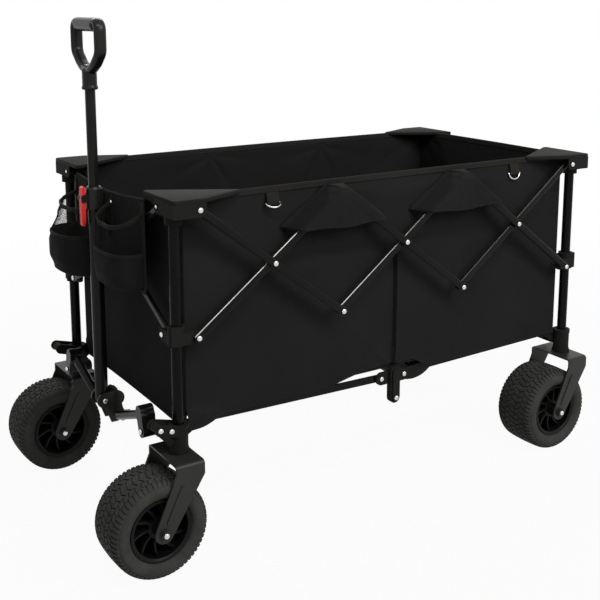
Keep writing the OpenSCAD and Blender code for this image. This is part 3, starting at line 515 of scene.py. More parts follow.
# %% [markdown]
# A gusset plate tops each corner moulding. Seen from above it is a triangle: two edges follow the rims, and
# the third runs across the corner of the tub. The outline is drawn for the front right corner, in metres from
# the middle of its post, then extruded and bevelled, and turned over for the other corners.


# %% Corner plates
PLATE_LOW, PLATE_TOP, PLATE_EDGE = 0.6479, 0.6557, 0.0022
PLATE_PLAN = [(-0.0166, 0.0830), (-0.0166, -0.0330), (-0.0150, -0.0365), (-0.0115, -0.0376),
              (0.0430, -0.0376), (0.1270, -0.0005), (0.1305, 0.0030), (0.1290, 0.0075),
              (-0.0060, 0.0858), (-0.0130, 0.0868)]


def mesh_piece(name, points, faces, finish, angle=35):
    """A piece from points and faces that follow a rule."""
    mesh = bpy.data.meshes.new(name)
    mesh.from_pydata([tuple(p) for p in points], [], faces)
    mesh.update()
    return finished(new_object(name, mesh), name, finish, angle)


def fix_normals(piece):
    """Merges points that coincide and turns all faces outwards."""
    with edit_mode(piece, "SELECT"):
        bpy.ops.mesh.remove_doubles(threshold=0.00002)
        bpy.ops.mesh.normals_make_consistent(inside=False)


def thicken(piece, height, edge, segments):
    """Extrudes a thin skin upwards into a closed body, and bevels its edges."""
    with edit_mode(piece, "SELECT"):
        bpy.ops.mesh.extrude_region_move(TRANSFORM_OT_translate={"value": (0, 0, height)})
    fix_normals(piece)
    use_modifier(piece, "BEVEL", width=edge, segments=segments, limit_method="ANGLE",
                 angle_limit=math.radians(50))


def corner_plate(end, side):
    (x, way), s, name = ENDS[end], SIDES[side], f"corner_plate_{end}{side}"
    points = [(x - way * a, s * (HALF_Y - b), PLATE_LOW) for a, b in PLATE_PLAN]
    plate = mesh_piece(name, points, [tuple(range(len(points)))], NYLON)
    thicken(plate, PLATE_TOP - PLATE_LOW, PLATE_EDGE, segments=3)
    return finished(plate, name, NYLON, 40)


for side in SIDES:
    for end in ENDS:
        hang(corner_plate(end, side), f"post_{end}{side}_body", "moulding")
print("corner plates:", len(SIDES) * len(ENDS))

# %% [markdown]
# Each axle ends in a bright domed bolt head, about as large as a rivet, on both legs of its fork.

# %% Axle caps
CAP_R, CAP_H, CAP_Y = 0.0050, 0.0026, 0.0631
one_cap = rivet_model(CAP_R, CAP_H, "axle_cap")
for side, s in SIDES.items():
    for end in ENDS:
        places = [facing((AXLE_X[end], s * HALF_Y + way * CAP_Y, AXLE_Z), (0, way, 0)) for way in (-1, 1)]
        body = f"caster_f{side}" if end == "f" else f"post_r{side}_body"
        hang(copies_of(one_cap, places, f"axle_caps_{end}{side}"), body, "ring_steel")
drop(one_cap)
print("axle caps: 2 on each of", len(AXLE_X) * len(SIDES), "wheels")

# %% [markdown]
# The tyre is a wide one for sand and grass: a smooth bulging sidewall, a fine serrated shoulder, and a low
# crown of small slanted blocks. The carcass is an outline spun round the axle.


# %% Tyre carcass
TYRE_R, SEAT_R, TREAD_DEPTH, TYRE_HALF = 0.090, 0.0572, 0.0024, 0.0507
SHOULDER_A, SHOULDER_R, CROWN_DROP, GROOVE_RUN = 0.034, 0.017, 0.0012, 0.0030


def crown(a):
    """Radius of the tread at a distance along the axle: a low crown, then a round shoulder."""
    past = max(0.0, abs(a) - SHOULDER_A)
    low = CROWN_DROP * min(1.0, abs(a) / SHOULDER_A) ** 2
    return TYRE_R - low - SHOULDER_R + math.sqrt(max(0.0, SHOULDER_R ** 2 - past ** 2))


def tyre_outline():
    """The carcass from the seat on the rim up the sidewall to the crown, as (radius, along), and back."""
    half = [(SEAT_R, 0.0), (SEAT_R, 0.0405), (SEAT_R + 0.0016, 0.0440), (0.0616, 0.0474), (0.0662, 0.0496),
            (0.0716, TYRE_HALF)]
    for a in (0.0503, 0.0492, 0.0474, 0.045, 0.042, 0.039, 0.035, 0.029, 0.020, 0.010, 0.0):
        half.append((crown(a) - TREAD_DEPTH * min(1.0, (TYRE_HALF - a) / GROOVE_RUN), a))
    return half + [(r, -a) for r, a in reversed(half[1:-1])]


def spun_outline(outline, steps, name, finish):
    """Spins a closed outline of (radius, along) round the Y axis."""
    count = len(outline)
    mesh = bpy.data.meshes.new(name)
    mesh.from_pydata([(0, a, r) for r, a in outline], [(i, (i + 1) % count) for i in range(count)], [])
    piece = new_object(name, mesh)
    with edit_mode(piece, "SELECT"):
        bpy.ops.mesh.spin(steps=steps, angle=2 * math.pi, center=(0, 0, 0), axis=(0, 1, 0))
    fix_normals(piece)
    return finished(piece, name, finish, 40)


print("tyre outline:", len(tyre_outline()), "points")

# %% [markdown]
# One block of each row of the tread is a strip that follows the crown and is extruded outwards, and copies
# of it go round the tyre. A row is given by its count, its stations along the axle, the share of its pitch
# that a block fills, its lean, its start, and whether it is on both sides of the middle. The four tyres are
# rolled on by different angles, so that their treads don't match.


# %% Tyre tread
TREAD_ROWS = [(44, (-0.0072, 0.0, 0.0072), 0.80, 0.0050, 0.0, False),
              (44, (0.0090, 0.0145, 0.0200), 0.78, -0.0046, 0.5, True),
              (44, (0.0216, 0.0270, 0.0325), 0.78, 0.0040, 0.0, True),
              (60, (0.0340, 0.0375, 0.0410, 0.0440, 0.0468), 0.62, 0.0022, 0.3, True)]
FAR_SIDE_SHIFT, BLOCK_EDGE, BLOCK_ROOT, BLOCK_LOW = 0.35, 0.0004, 0.0006, 0.0002


def block_model(stations, length, lean):
    """A tread block over the given stations along the axle, extruded from the groove to the crown."""
    first, last = stations[0], stations[-1]
    points, sunk = [], TREAD_DEPTH + BLOCK_ROOT
    for a in stations:
        shift = lean * ((a - first) / (last - first) - 0.5)
        points += [(shift + way * length / 2, a, crown(a) - sunk - BLOCK_LOW) for way in (-1, 1)]
    faces = [(2 * i, 2 * i + 1, 2 * i + 3, 2 * i + 2) for i in range(len(stations) - 1)]
    block = mesh_piece("block", points, faces, TREAD)
    thicken(block, sunk, BLOCK_EDGE, segments=1)
    return finished(block, "block", TREAD, 30)


def make_tyre():
    pieces = [spun_outline(tyre_outline(), 96, "tyre_carcass", TREAD)]
    for count, stations, share, lean, start, both in TREAD_ROWS:
        pitch = 2 * math.pi / count
        block = block_model(stations, share * pitch * TYRE_R, lean)
        turns = [Matrix.Rotation(pitch * (i + start), 4, "Y") for i in range(count)]
        if both:
            start, over = start + FAR_SIDE_SHIFT, Matrix.Rotation(math.pi, 4, "Z")
            turns += [Matrix.Rotation(pitch * (i + start), 4, "Y") @ over for i in range(count)]
        pieces.append(copies_of(block, turns, "blocks"))
        drop(block)
    return join(pieces, "tyre")


one_tyre = make_tyre()
ROLLED = {"fr": 7, "rr": 14, "fl": 18, "rl": 25}
for side, s in SIDES.items():
    for end in ENDS:
        roll = Matrix.Rotation(math.radians(ROLLED[end + side]), 4, "Y")
        place = Matrix.Translation((AXLE_X[end], s * HALF_Y, AXLE_Z)) @ roll
        tyre = copies_of(one_tyre, [place], f"treaded_tyre_{end}{side}")
        hang(tyre, f"wheel_{end}{side}", "tyre")
        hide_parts(f"tyre_{end}{side}")
print("tyre:", len(one_tyre.data.polygons), "faces each")
drop(one_tyre)

# %% [markdown]
# The grip is one soft moulding: an oval tube bent into a loop that tapers to the ferrule, with a thicker bar
# across the top for the hand. The loop is swept along an outline round a few circles, the bar and ferrule are
# turned pieces let into it, and a remesh fuses them with small fillets.


# %% Grip
GRIP_X, GRIP_Z, GRIP_H = FRONT_X - 0.043, 0.819, 0.129
LOOP_HALF = [(0.042, GRIP_H - 0.022, 0.022), (0.038, GRIP_H - 0.053, 0.026), (0.025, 0.060, 0.0225),
             (0.0125, 0.0485, 0.0185)]
LOOP_CIRCLES = [(way * y, z, r) for y, z, r in LOOP_HALF for way in (1, -1)]


def tube_faces(i, j, size):
    """Faces between two rings of points of a tube."""
    return [(i * size + k, j * size + k, j * size + (k + 1) % size, i * size + (k + 1) % size)
            for k in range(size)]


def loop_tube(half_wide, half_deep, steps=96, ring=20):
    """A closed oval tube whose outer edge is the outline round the loop's circles."""
    points, faces = [], []
    for i in range(steps):
        turn = 2 * math.pi * i / steps
        out = (math.cos(turn), math.sin(turn))
        y, z, r = max(LOOP_CIRCLES, key=lambda c: c[0] * out[0] + c[1] * out[1] + c[2])
        for k in range(ring):
            a = 2 * math.pi * k / ring
            reach = r - half_wide + half_wide * math.cos(a)
            points.append((half_deep * math.copysign(abs(math.sin(a)) ** 0.8, math.sin(a)),
                           y + reach * out[0], z + reach * out[1]))
        faces += tube_faces(i, (i + 1) % steps, ring)
    tube = mesh_piece("grip_loop", points, faces, GRIP_NYLON)
    fix_normals(tube)
    return tube


def turned(radius, length, place, soft, upright=True):
    """A turned piece with softened ends."""
    select_only()
    bpy.ops.mesh.primitive_cylinder_add(vertices=48, radius=radius, depth=length, location=place,
                                        rotation=(0 if upright else math.radians(90), 0, 0))
    piece = bpy.context.object
    use_modifier(piece, "BEVEL", width=soft, segments=4, limit_method="ANGLE")
    return piece


def make_grip():
    bar = turned(0.0125, 0.092, (0, 0, GRIP_H - 0.0126), soft=0.006, upright=False)
    ferrule = turned(0.0135, 0.038, (0, 0, 0.019), soft=0.0008)
    lip = turned(0.0150, 0.006, (0, 0, 0.003), soft=0.0012)
    grip = join([loop_tube(half_wide=0.007, half_deep=0.0115), bar, ferrule, lip], "grip")
    use_modifier(grip, "REMESH", mode="VOXEL", voxel_size=0.0010)
    use_modifier(grip, "SMOOTH", factor=0.5, iterations=14)
    grip.data.transform(Matrix.Translation((GRIP_X, 0, GRIP_Z)))
    return finished(grip, "pull_grip", GRIP_NYLON, 60)


grip = make_grip()
hang(grip, "handle_upper", "grip_plastic")
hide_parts("handle_grip")
print("grip:", len(grip.data.polygons), "faces")

# %% [markdown]
# The tub is sewn from four walls and a floor. Its cloth isn't flat: it is drawn tight to the corners, to the
# upper bar joints and to the hub below the middle of each side, and it sags between them. Each pull is a fan
# of small ridges that fades with distance, and slow noise adds the slackness. A cloth simulation would only
# fight the bars here, so the points are moved by this rule.


# %% Cloth slack
SLOW_WAVE, SMALL_WAVE, FAN_EYE = 0.0034, 0.0010, 0.02


def ease(t):
    """A soft step from 0 to 1."""
    t = min(1.0, max(0.0, t))
    return t * t * (3 - 2 * t)


def fan(x, z, at, reach, count, phase):
    """Narrow ridges that fan out from a point where the cloth is pulled."""
    dx, dz = x - at[0], z - at[1]
    away = math.hypot(dx, dz)
    wave = 0.5 + 0.5 * math.cos(count * math.atan2(dz, dx) + phase)
    return (wave ** 3 - 0.3) * math.exp(-away / reach) * min(1.0, away / FAN_EYE)


def pulled(x, z, pulls):
    """The sum of several fans, each given by its point, height, reach, count of ridges and phase."""
    return sum(height * fan(x, z, at, reach, count, phase) for at, height, reach, count, phase in pulls)


def slack(x, z, seed):
    """Slow waves of loose cloth, in metres, with smaller ones on them."""
    slow = noise.noise(Vector((x * 3.1, z * 4.2, seed))) * SLOW_WAVE
    return slow + noise.noise(Vector((x * 9.0, z * 7.0, seed + 9.1))) * SMALL_WAVE


print("loose cloth waves by up to", round((SLOW_WAVE + SMALL_WAVE) * 1000, 1), "mm")

# %% [markdown]
# A long wall has a fold amid its length, where the wagon collapses: the rear half stands out from it and the
# front half dips behind it. Its lower edge rises to the hub amid the side, and dips and flares at the front
# foot. The rim is nearly level, but lower at the front, where an apron goes on from it over the bars.


# %% Lines of the walls
WALL_SEED = {"r": 3.7, "l": 8.2}
LONG_PULLS = [((pivot_x(1), TOP_Z), 0.0046, 0.10, 7, 0.7), ((pivot_x(2), TOP_Z), 0.0046, 0.10, 7, 1.7),
              ((MID_X, SKIRT_Z + 0.01), 0.0036, 0.09, 8, 0.5)]
for corner_x, phase in ((TUB_FRONT, 0.3), (TUB_REAR, 1.1)):
    LONG_PULLS.append(((corner_x, RIM_Z), 0.0040, 0.11, 10, phase))
    LONG_PULLS.append(((corner_x, SKIRT_Z), 0.0030, 0.09, 9, phase))
SEAM_OUT, SEAM_IN, SEAM_AHEAD, SEAM_BEHIND, SEAM_SOFT = 0.0050, -0.0042, 0.035, 0.028, 0.005
SIDE_BELLY, FLARE_OUT, FLARE_LONG, FLARE_TOP = 0.0035, 0.0068, 0.072, 0.276
SKIRT_RISE, RISE_FRONT, RISE_REAR, SKIRT_DIP, DIP_LONG, EDGE_WAVE = 0.0200, 0.19, 0.150, 0.0105, 0.078, 0.0012
APRON_HALF, APRON_SAG, APRON_DROP = 0.163, 0.0110, 0.0380


def mid_seam(x, z):
    """The fold amid a long side."""
    ahead = x - MID_X
    dip = SEAM_IN * math.exp(min(0.0, ahead) / SEAM_BEHIND)
    step = SEAM_OUT * math.exp(-ahead / SEAM_AHEAD) if ahead > 0 else dip
    fold = dip + (step - dip) * ease((ahead + SEAM_SOFT / 2) / SEAM_SOFT)
    return fold * ease((MID_Z - 0.004 - z) / 0.03)


def side_bulge(x, z, seed):
    """How far a long wall stands out from its flat plane."""
    t = (x - TUB_FRONT) / (TUB_REAR - TUB_FRONT)
    h = (z - SKIRT_Z) / (RIM_Z - SKIRT_Z)
    edge = min(1.0, 9 * t, 9 * (1 - t)) * min(1.0, 12 * (1 - h) + 0.12)
    out = slack(x, z, seed) + SIDE_BELLY * math.sin(math.pi * min(1, max(0, h))) + pulled(x, z, LONG_PULLS)
    flare = FLARE_OUT * ease((TUB_FRONT + FLARE_LONG - x) / 0.04) * ease((FLARE_TOP - z) / 0.016)
    return edge * out + mid_seam(x, z) + flare


def skirt_z(x):
    """Lower edge of a long wall."""
    rise = SKIRT_RISE * ease((x - MID_X + RISE_FRONT) / 0.14) * ease((RISE_REAR - x) / 0.05)
    dip = SKIRT_DIP * ease((TUB_FRONT + DIP_LONG - x) / 0.060)
    return SKIRT_Z + rise - dip + EDGE_WAVE * math.sin(17 * x)


def rim_z(t):
    """Upper edge of a wall, a little higher amid its length."""
    return RIM_Z + EDGE_WAVE * math.sin(math.pi * t)


def apron_sag(y):
    """How far the cloth over the front bars sags between the corner plates."""
    return APRON_SAG * math.cos(math.pi / 2 * min(1.0, abs(y) / APRON_HALF))


def front_rim(y):
    """Upper edge of the front wall."""
    return RIM_Z - APRON_DROP * ease((TUB_Y - abs(y)) / 0.08) - apron_sag(y)


print("skirt amid the side at", round(skirt_z(MID_X), 4), "m, front rim at", round(front_rim(0), 4), "m")

# %% [markdown]
# A sheet starts as a grid whose points are moved to their place on the real cloth, and it gets a real
# thickness. A tape is a flat strip with rounded edges along a path, and a row of small thread ticks holds it.


# %% Sheets, tapes and stitches
TAPE_RING = [(-1, 0.35), (-0.8, 1), (0.8, 1), (1, 0.35), (1, -0.35), (0.8, -1), (-0.8, -1), (-1, -0.35)]
THREAD_R = 0.00042


def shaped_grid(columns, rows, place):
    """A grid whose points go where place(u, v) says."""
    select_only()
    bpy.ops.mesh.primitive_grid_add(x_subdivisions=columns, y_subdivisions=rows, size=1)
    piece = bpy.context.object
    for point in piece.data.vertices:
        point.co = place(point.co.x + 0.5, point.co.y + 0.5)
    return piece


def sheet_piece(name, columns, rows, place, thick=0.0016):
    piece = shaped_grid(columns, rows, place)
    use_modifier(piece, "SOLIDIFY", thickness=thick, offset=0)
    return finished(piece, name, CLOTH, 60)


def tape_piece(name, path, ways, width, thick, finish):
    """A tape along a path; each point has the way its face looks."""
    points, faces, last, size = [], [], len(path) - 1, len(TAPE_RING)
    for i, spot in enumerate(path):
        ahead = (Vector(path[min(i + 1, last)]) - Vector(path[max(i - 1, 0)])).normalized()
        out = Vector(ways[i]).normalized()
        side = ahead.cross(out).normalized()
        points += [Vector(spot) + side * a * width / 2 + out * b * thick / 2 for a, b in TAPE_RING]
        if i < last:
            faces += tube_faces(i, i + 1, size)
    faces += [tuple(range(size - 1, -1, -1)), tuple(last * size + k for k in range(size))]
    piece = mesh_piece(name, points, faces, finish, 50)
    fix_normals(piece)
    return piece


def stitches(name, path, ways, step, length, lift):
    """A row of thread ticks that lie on a tape."""
    select_only()
    bpy.ops.mesh.primitive_cylinder_add(vertices=6, radius=THREAD_R, depth=length, location=(0, 0, 0))
    tick = finished(bpy.context.object, "tick", THREAD, 60)
    places, run, goal = [], 0.0, step / 2
    for i in range(len(path) - 1):
        a, b = Vector(path[i]), Vector(path[i + 1])
        span = (b - a).length
        while span > 0 and goal <= run + span:
            spot = a.lerp(b, (goal - run) / span) + Vector(ways[i]).normalized() * lift
            places.append(facing(spot, b - a))
            goal += step
        run += span
    row = copies_of(tick, places, name)
    drop(tick)
    return row


print("a tape has", len(TAPE_RING), "points round its edge")

# %% [markdown]
# The long walls. Each is a fine grid that rides on the front post of its side. A tape binds
# its rim and is stitched on, and a narrow hem closes the lower edge.


# %% Long walls
def wall_trims(label, place, way, steps):
    """The binding of a wall's rim, the hem of its lower edge, and the stitches of the binding."""
    rim_off = Vector((way[0] * 0.0006, way[1] * 0.0006, -0.0030))
    hem_off = Vector((way[0] * 0.0005, way[1] * 0.0005, 0.0040))
    rim = [Vector(place(i / steps, 1)) + rim_off for i in range(steps + 1)]
    hem = [Vector(place(i / steps, 0)) + hem_off for i in range(steps + 1)]
    ways = [way] * (steps + 1)
    return [tape_piece(f"rim_tape_{label}", rim, ways, 0.0120, 0.0048, TAPE),
            tape_piece(f"hem_tape_{label}", hem, ways, 0.0075, 0.0030, CLOTH),
            stitches(f"rim_stitches_{label}", rim, ways, step=0.0052, length=0.0034, lift=0.0023)]


def long_wall(side):
    s = SIDES[side]

    def place(u, v):
        x = TUB_FRONT + u * (TUB_REAR - TUB_FRONT)
        low, high = skirt_z(x), rim_z(u)
        z = low + v * (high - low)
        return (x, s * (TUB_Y + side_bulge(x, z, WALL_SEED[side])), z)

    wall = sheet_piece(f"long_wall_{side}", 260, 84, place)
    return wall, wall_trims(side, place, (0, s, 0), steps=180)


def follow_length(piece):
    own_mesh(piece)


for side in SIDES:
    wall, trims = long_wall(side)
    for piece in [wall, *trims]:
        hang(piece, f"post_f{side}_body", "fabric")
        follow_length(piece)
    if side == "r":
        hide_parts("tub")
    print("long wall", side, len(wall.data.polygons), "faces")

# %% [markdown]
# The end walls are made the same way, across the wagon, and ride on the right-hand posts.


# %% End walls
END_SEED, END_LOW = {"f": 5.5, "r": 1.9}, {"f": -0.012, "r": 0.004}
END_PULLS = [((-TUB_Y, RIM_Z), 0.0028, 0.09, 12, 0.4), ((TUB_Y, RIM_Z), 0.0028, 0.09, 12, 1.3)]
END_OUT = 0.004


def end_wall(end):
    x0, way = (TUB_FRONT, -1) if end == "f" else (TUB_REAR, 1)

    def place(u, v):
        y = -TUB_Y + u * 2 * TUB_Y
        low = SKIRT_Z + END_LOW[end] + 0.005 * math.sin(math.pi * u)
        z = low + v * ((front_rim(y) if end == "f" else rim_z(u)) - low)
        h = (z - low) / (RIM_Z - low)
        edge = min(1.0, 9 * u, 9 * (1 - u)) * min(1.0, 12 * (1 - h) + 0.1)
        out = slack(y, z, END_SEED[end]) * 0.8 + pulled(y, z, END_PULLS)
        return (x0 + way * edge * min(out, END_OUT), y, z)

    wall = sheet_piece(f"end_wall_{end}", 100, 80, place)
    return wall, wall_trims(end, place, (way, 0, 0), steps=50)


def follow_width(piece):
    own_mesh(piece)


for end in ENDS:
    wall, trims = end_wall(end)
    for piece in [wall, *trims]:
        hang(piece, f"post_{end}r_body", "fabric")
        follow_width(piece)
    print("end wall", end, len(wall.data.polygons), "faces")

# %% [markdown]
# A flap of the same cloth folds over each upper joint of the long sides, so that the moving bars don't rub
# the cargo. It leaves the rim, goes over the bars and hangs outside them. Its sides run in to the wall beyond
# the bars, so it is a small tent, wider at its lower edge. It rides on the front post of its side.


# %% Flaps
FLAP_PROFILE = [(0.2400, 0.6440), (0.2450, 0.6458), (0.2560, 0.6470), (0.2680, 0.6468), (0.2782, 0.6440),
                (0.2836, 0.6375), (0.2848, 0.6270), (0.2848, 0.6110), (0.2846, 0.5960), (0.2840, 0.5800)]
FLAP_LOW, FLAP_TOP, FLAP_DROP, FLAP_WALL = 0.226, 0.6440, 0.064, TUB_Y + 0.0062


def along_line(points, share):
    """The point at a share of the way along a line of points."""
    reach = share * (len(points) - 1)
    i = min(int(reach), len(points) - 2)
    (a, b), (c, d) = points[i], points[i + 1]
    return a + (c - a) * (reach - i), b + (d - b) * (reach - i)


def flap_place(side, centre, seed):
    s = SIDES[side]

    def place(u, v):
        y, z = along_line(FLAP_PROFILE, v)
        down = min(1.0, max(0.0, (FLAP_TOP - z) / FLAP_DROP))
        bar_edge = max(0.0, TOP_Z - z) * BAR_SPAN / (TOP_Z - SLIDER_Z)
        bar_edge += 0.0145 - 0.0085 * ease((z - TOP_Z) / 0.009)
        half = min(bar_edge + 0.014 + 0.014 * down, FLAP_LOW / 2)
        x = centre + (2 * u - 1) * half
        tent = 1 - ease((abs(x - centre) - bar_edge) / (half - bar_edge))
        dish = 0.0030 * down * (1 - min(1.0, abs(x - centre) / bar_edge) ** 2)
        sag = 0.0055 * math.cos(math.pi * (u - 0.5)) + 0.0014 * math.sin(13 * u + seed)
        pleat = 0.0024 * max(0.0, fan(x, z, (centre, TOP_Z), 0.12, 11, seed))
        wave = 0.0016 * max(0.0, noise.noise(Vector((x * 24, z * 18, seed + 2))))
        out = FLAP_WALL + (y + (pleat + wave) * down - dish - FLAP_WALL) * tent
        return (x, s * out, z - sag * down)

    return place


def make_flap(side, k):
    place = flap_place(side, pivot_x(k), 0.9 * k + (2.0 if side == "l" else 0))
    flap = sheet_piece(f"flap_{side}{k}", 72, 40, place, 0.0014)
    edge = [place(0, i / 24) for i in range(6, 25)] + [place(i / 40, 1) for i in range(1, 40)]
    edge += [place(1, i / 24) for i in range(24, 5, -1)]
    ways = [(0, SIDES[side], 0.15)] * len(edge)
    tape = tape_piece(f"flap_tape_{side}{k}", edge, ways, 0.0055, 0.0024, CLOTH)
    row = stitches(f"flap_stitches_{side}{k}", edge, ways, step=0.0050, length=0.0032, lift=0.0014)
    return flap, [tape, row]


for side in SIDES:
    for k in (1, 2):
        flap, trims = make_flap(side, k)
        for piece in [flap, *trims]:
            hang(piece, f"post_f{side}_body", "fabric")
            follow_length(piece)
print("flaps: 4, each", FLAP_LOW, "m wide at its lower edge")

# %% [markdown]
# The floor is a padded mat of four stiffened panels with sewn folds between them. A padded panel is crowned
# and pulls down to its seams, so the height follows the distance to the nearest seam. The mat is cut along
# the middle, because its two halves travel with the two front posts and slide over each other as the wagon
# folds. The cloth beneath the mat turns up at the sides, where it is sewn to the long walls.


# %% Floor mat
PANELS, MAT_GAP, MAT_PUFF = 4, 0.004, {"r": 0.0062, "l": 0.0052}
UNDER_Z, LIP_H, LIP_AT = {"r": 0.2596, "l": 0.2592}, 0.020, 0.9


def floor_half(side):
    s = SIDES[side]

    def mat_place(u, v):
        x = TUB_FRONT + MAT_GAP + u * (TUB_REAR - TUB_FRONT - 2 * MAT_GAP)
        y = s * v * (TUB_Y - MAT_GAP)
        seam = abs((u * PANELS) % 1.0 - 0.5) * 2
        full = (1 - seam ** 10) * (1 - v ** 16)
        uneven = 0.0006 * noise.noise(Vector((x * 18, y * 18, 4.0)))
        return (x, y, FLOOR_Z + MAT_PUFF[side] * (0.35 + 0.65 * full) + uneven * full)

    def under_place(u, v):
        x = TUB_FRONT + u * (TUB_REAR - TUB_FRONT)
        z = UNDER_Z[side] + 0.0008 * noise.noise(Vector((u * 9, v * 5, 7.7)))
        inside = TUB_Y - 0.0024
        if v < LIP_AT:
            return (x, s * v / LIP_AT * (inside - 0.003), z)
        z += LIP_H * (v - LIP_AT) / (1 - LIP_AT)
        return (x, s * (inside + side_bulge(x, z, WALL_SEED[side])), z)

    mat = sheet_piece(f"floor_mat_{side}", 200, 48, mat_place, 0.0020)
    return mat, sheet_piece(f"under_floor_{side}", 120, 50, under_place)


for side in SIDES:
    mat, under = floor_half(side)
    for piece in (mat, under):
        hang(piece, f"post_f{side}_body", "fabric")
        follow_length(piece)
    if side == "r":
        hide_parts("floor_board")
print("floor mat: 2 halves of", PANELS, "panels")

# %% [markdown]
# Two pouches hang on the front, either side of the handle. The lower part is cloth that bellies out; above it
# an open net draws in to a bound mouth, so small things can be seen. Both parts are one rounded form, lofted
# from level rings between the two edges that are sewn to the back panel. The left pouch is the fuller one.


# %% Form of the pouches
POUCH_BACK, POUCH_IN, POUCH_W, BACK_TOP = -0.4352, 0.022, 0.138, 0.636
POUCH_LOW, POUCH_NET, POUCH_TOP = {"r": 0.470, "l": 0.456}, {"r": 0.538, "l": 0.538}, {"r": 0.587, "l": 0.588}
MOUTH_RISE, DENT_SEED = {"r": 0.026, "l": 0.016}, {"r": 1.4, "l": 6.2}
BELLY_AT = (0, 0.10, 0.30, 0.50, 0.62, 0.85, 1)
BELLY = {"r": (0.040, 0.049, 0.0540, 0.0540, 0.053, 0.049, 0.046),
         "l": (0.054, 0.068, 0.0770, 0.0770, 0.073, 0.059, 0.050)}


def pouch_depth(side, z):
    """Depth of a pouch at a height: a full belly that draws in to the mouth."""
    t = (z - POUCH_LOW[side]) / (POUCH_TOP[side] - POUCH_LOW[side])
    stations = list(zip(BELLY_AT, BELLY[side]))
    for (a, b), (c, d) in zip(stations, stations[1:]):
        if t <= c:
            return b + (d - b) * ease((t - a) / (c - a))
    return BELLY[side][-1]


def pouch_point(side, u, z):
    """A point of the pouch's skin: u goes from the edge by the handle round the belly to the outer edge."""
    turn, half = math.pi * u, POUCH_W / 2
    flat = abs(math.sin(turn)) ** 0.62
    y = POUCH_IN + half - half * math.copysign(abs(math.cos(turn)) ** 0.75, math.cos(turn))
    ripple = 0.0009 * math.sin(turn * 13 + z * 60) * max(0.0, (z - 0.52) / 0.07) * flat
    dent = 0.0022 * noise.noise(Vector((u * 3.1, z * 26, DENT_SEED[side]))) * flat
    above = max(0.0, (z - POUCH_NET[side]) / (POUCH_TOP[side] - POUCH_NET[side]))
    rise = MOUTH_RISE[side] * (1 - flat) * above
    return Vector((POUCH_BACK - pouch_depth(side, z) * flat - ripple - dent, SIDES[side] * y, z + rise))


for side in SIDES:
    print("pouch", side, "is", round(pouch_depth(side, POUCH_NET[side]), 3), "m deep at its waist")

# %% [markdown]
# The skin has a rounded bottom that closes to the back panel. The net is a grid turned into wires. Tapes bind
# the mouth, the waist and the two upright edges, and bright studs fix the back panel.


# %% Pieces of a pouch
BOTTOM, BOTTOM_ROUND, CLOSED = 0.18, 0.012, 0.985
POUCH_CLOTH, NET_WIRE = 0.0015, 0.00075
STUD_R, STUD_H = 0.0034, 0.0022
STUD_SPOTS = {"r": [(POUCH_IN, 0.6125)], "l": [(POUCH_IN, 0.6125), (0.031, 0.6290)]}
EDGE_TAPES = (("inner", 0.0, 0.0070), ("outer", 1.0, 0.0120))


def pouch_skin(side):
    low, top = POUCH_LOW[side], POUCH_NET[side] + 0.004
    middle = Vector((POUCH_BACK - 0.004, SIDES[side] * (POUCH_IN + POUCH_W / 2), low - 0.0015))

    def place(u, v):
        if v < BOTTOM:
            sink = (BOTTOM - v) / BOTTOM
            edge = pouch_point(side, u, low + BOTTOM_ROUND * (1 - sink) ** 2)
            return edge.lerp(middle, sink ** 1.5 * CLOSED)
        up = (v - BOTTOM) / (1 - BOTTOM)
        return pouch_point(side, u, low + BOTTOM_ROUND + up * (top - low - BOTTOM_ROUND))

    return sheet_piece(f"pouch_{side}", 72, 56, place, POUCH_CLOTH)


def pouch_back(side):
    low = POUCH_LOW[side]

    def place(u, v):
        y = POUCH_IN + u * POUCH_W
        x = POUCH_BACK + 0.0008 * noise.noise(Vector((u * 5, v * 6, 2.0)))
        return (x, SIDES[side] * y, low + v * (BACK_TOP - apron_sag(y) - low))

    return sheet_piece(f"pouch_back_{side}", 40, 48, place, POUCH_CLOTH)


def pouch_net(side):
    waist, mouth = POUCH_NET[side], POUCH_TOP[side]
    net = shaped_grid(64, 17, lambda u, v: pouch_point(side, u, waist + v * (mouth - waist)))
    use_modifier(net, "WIREFRAME", thickness=NET_WIRE, use_even_offset=False, use_boundary=True)
    return finished(net, f"pouch_net_{side}", NET, 60)


def pouch_trims(side):
    s, low, trims = SIDES[side], POUCH_LOW[side], []
    middle_y = s * (POUCH_IN + POUCH_W / 2)
    for label, z, width in (("mouth", POUCH_TOP[side], 0.0085), ("waist", POUCH_NET[side] + 0.001, 0.0070)):
        ring = [pouch_point(side, i / 60, z) for i in range(61)]
        ways = [(p - Vector((POUCH_BACK, middle_y, p.z))).normalized() for p in ring]
        path = [p + way * 0.0006 for p, way in zip(ring, ways)]
        trims.append(tape_piece(f"pouch_{label}_tape_{side}", path, ways, width, 0.0030, TAPE))
        trims.append(stitches(f"pouch_{label}_stitches_{side}", path, ways, step=0.0050, length=0.0032,
                              lift=0.0015))
    for label, u, width in EDGE_TAPES:
        y = s * (POUCH_IN + u * POUCH_W)
        high = BACK_TOP - 0.002 - apron_sag(y)
        path = [(POUCH_BACK - 0.0012, y, low + i / 30 * (high - low)) for i in range(31)]
        trims.append(tape_piece(f"pouch_{label}_edge_{side}", path, [(-1, 0, 0)] * 31, width, 0.0030, TAPE))
    return trims


def pouch_studs(side):
    stud = rivet_model(STUD_R, STUD_H, "stud")
    places = [facing((POUCH_BACK - 0.0030, SIDES[side] * y, z), (-1, 0, 0)) for y, z in STUD_SPOTS[side]]
    studs = copies_of(stud, places, f"pouch_studs_{side}")
    drop(stud)
    return studs


print("pouch pieces ready, studs:", sum(len(spots) for spots in STUD_SPOTS.values()))

# %% [markdown]
# The pouches ride on the front posts.

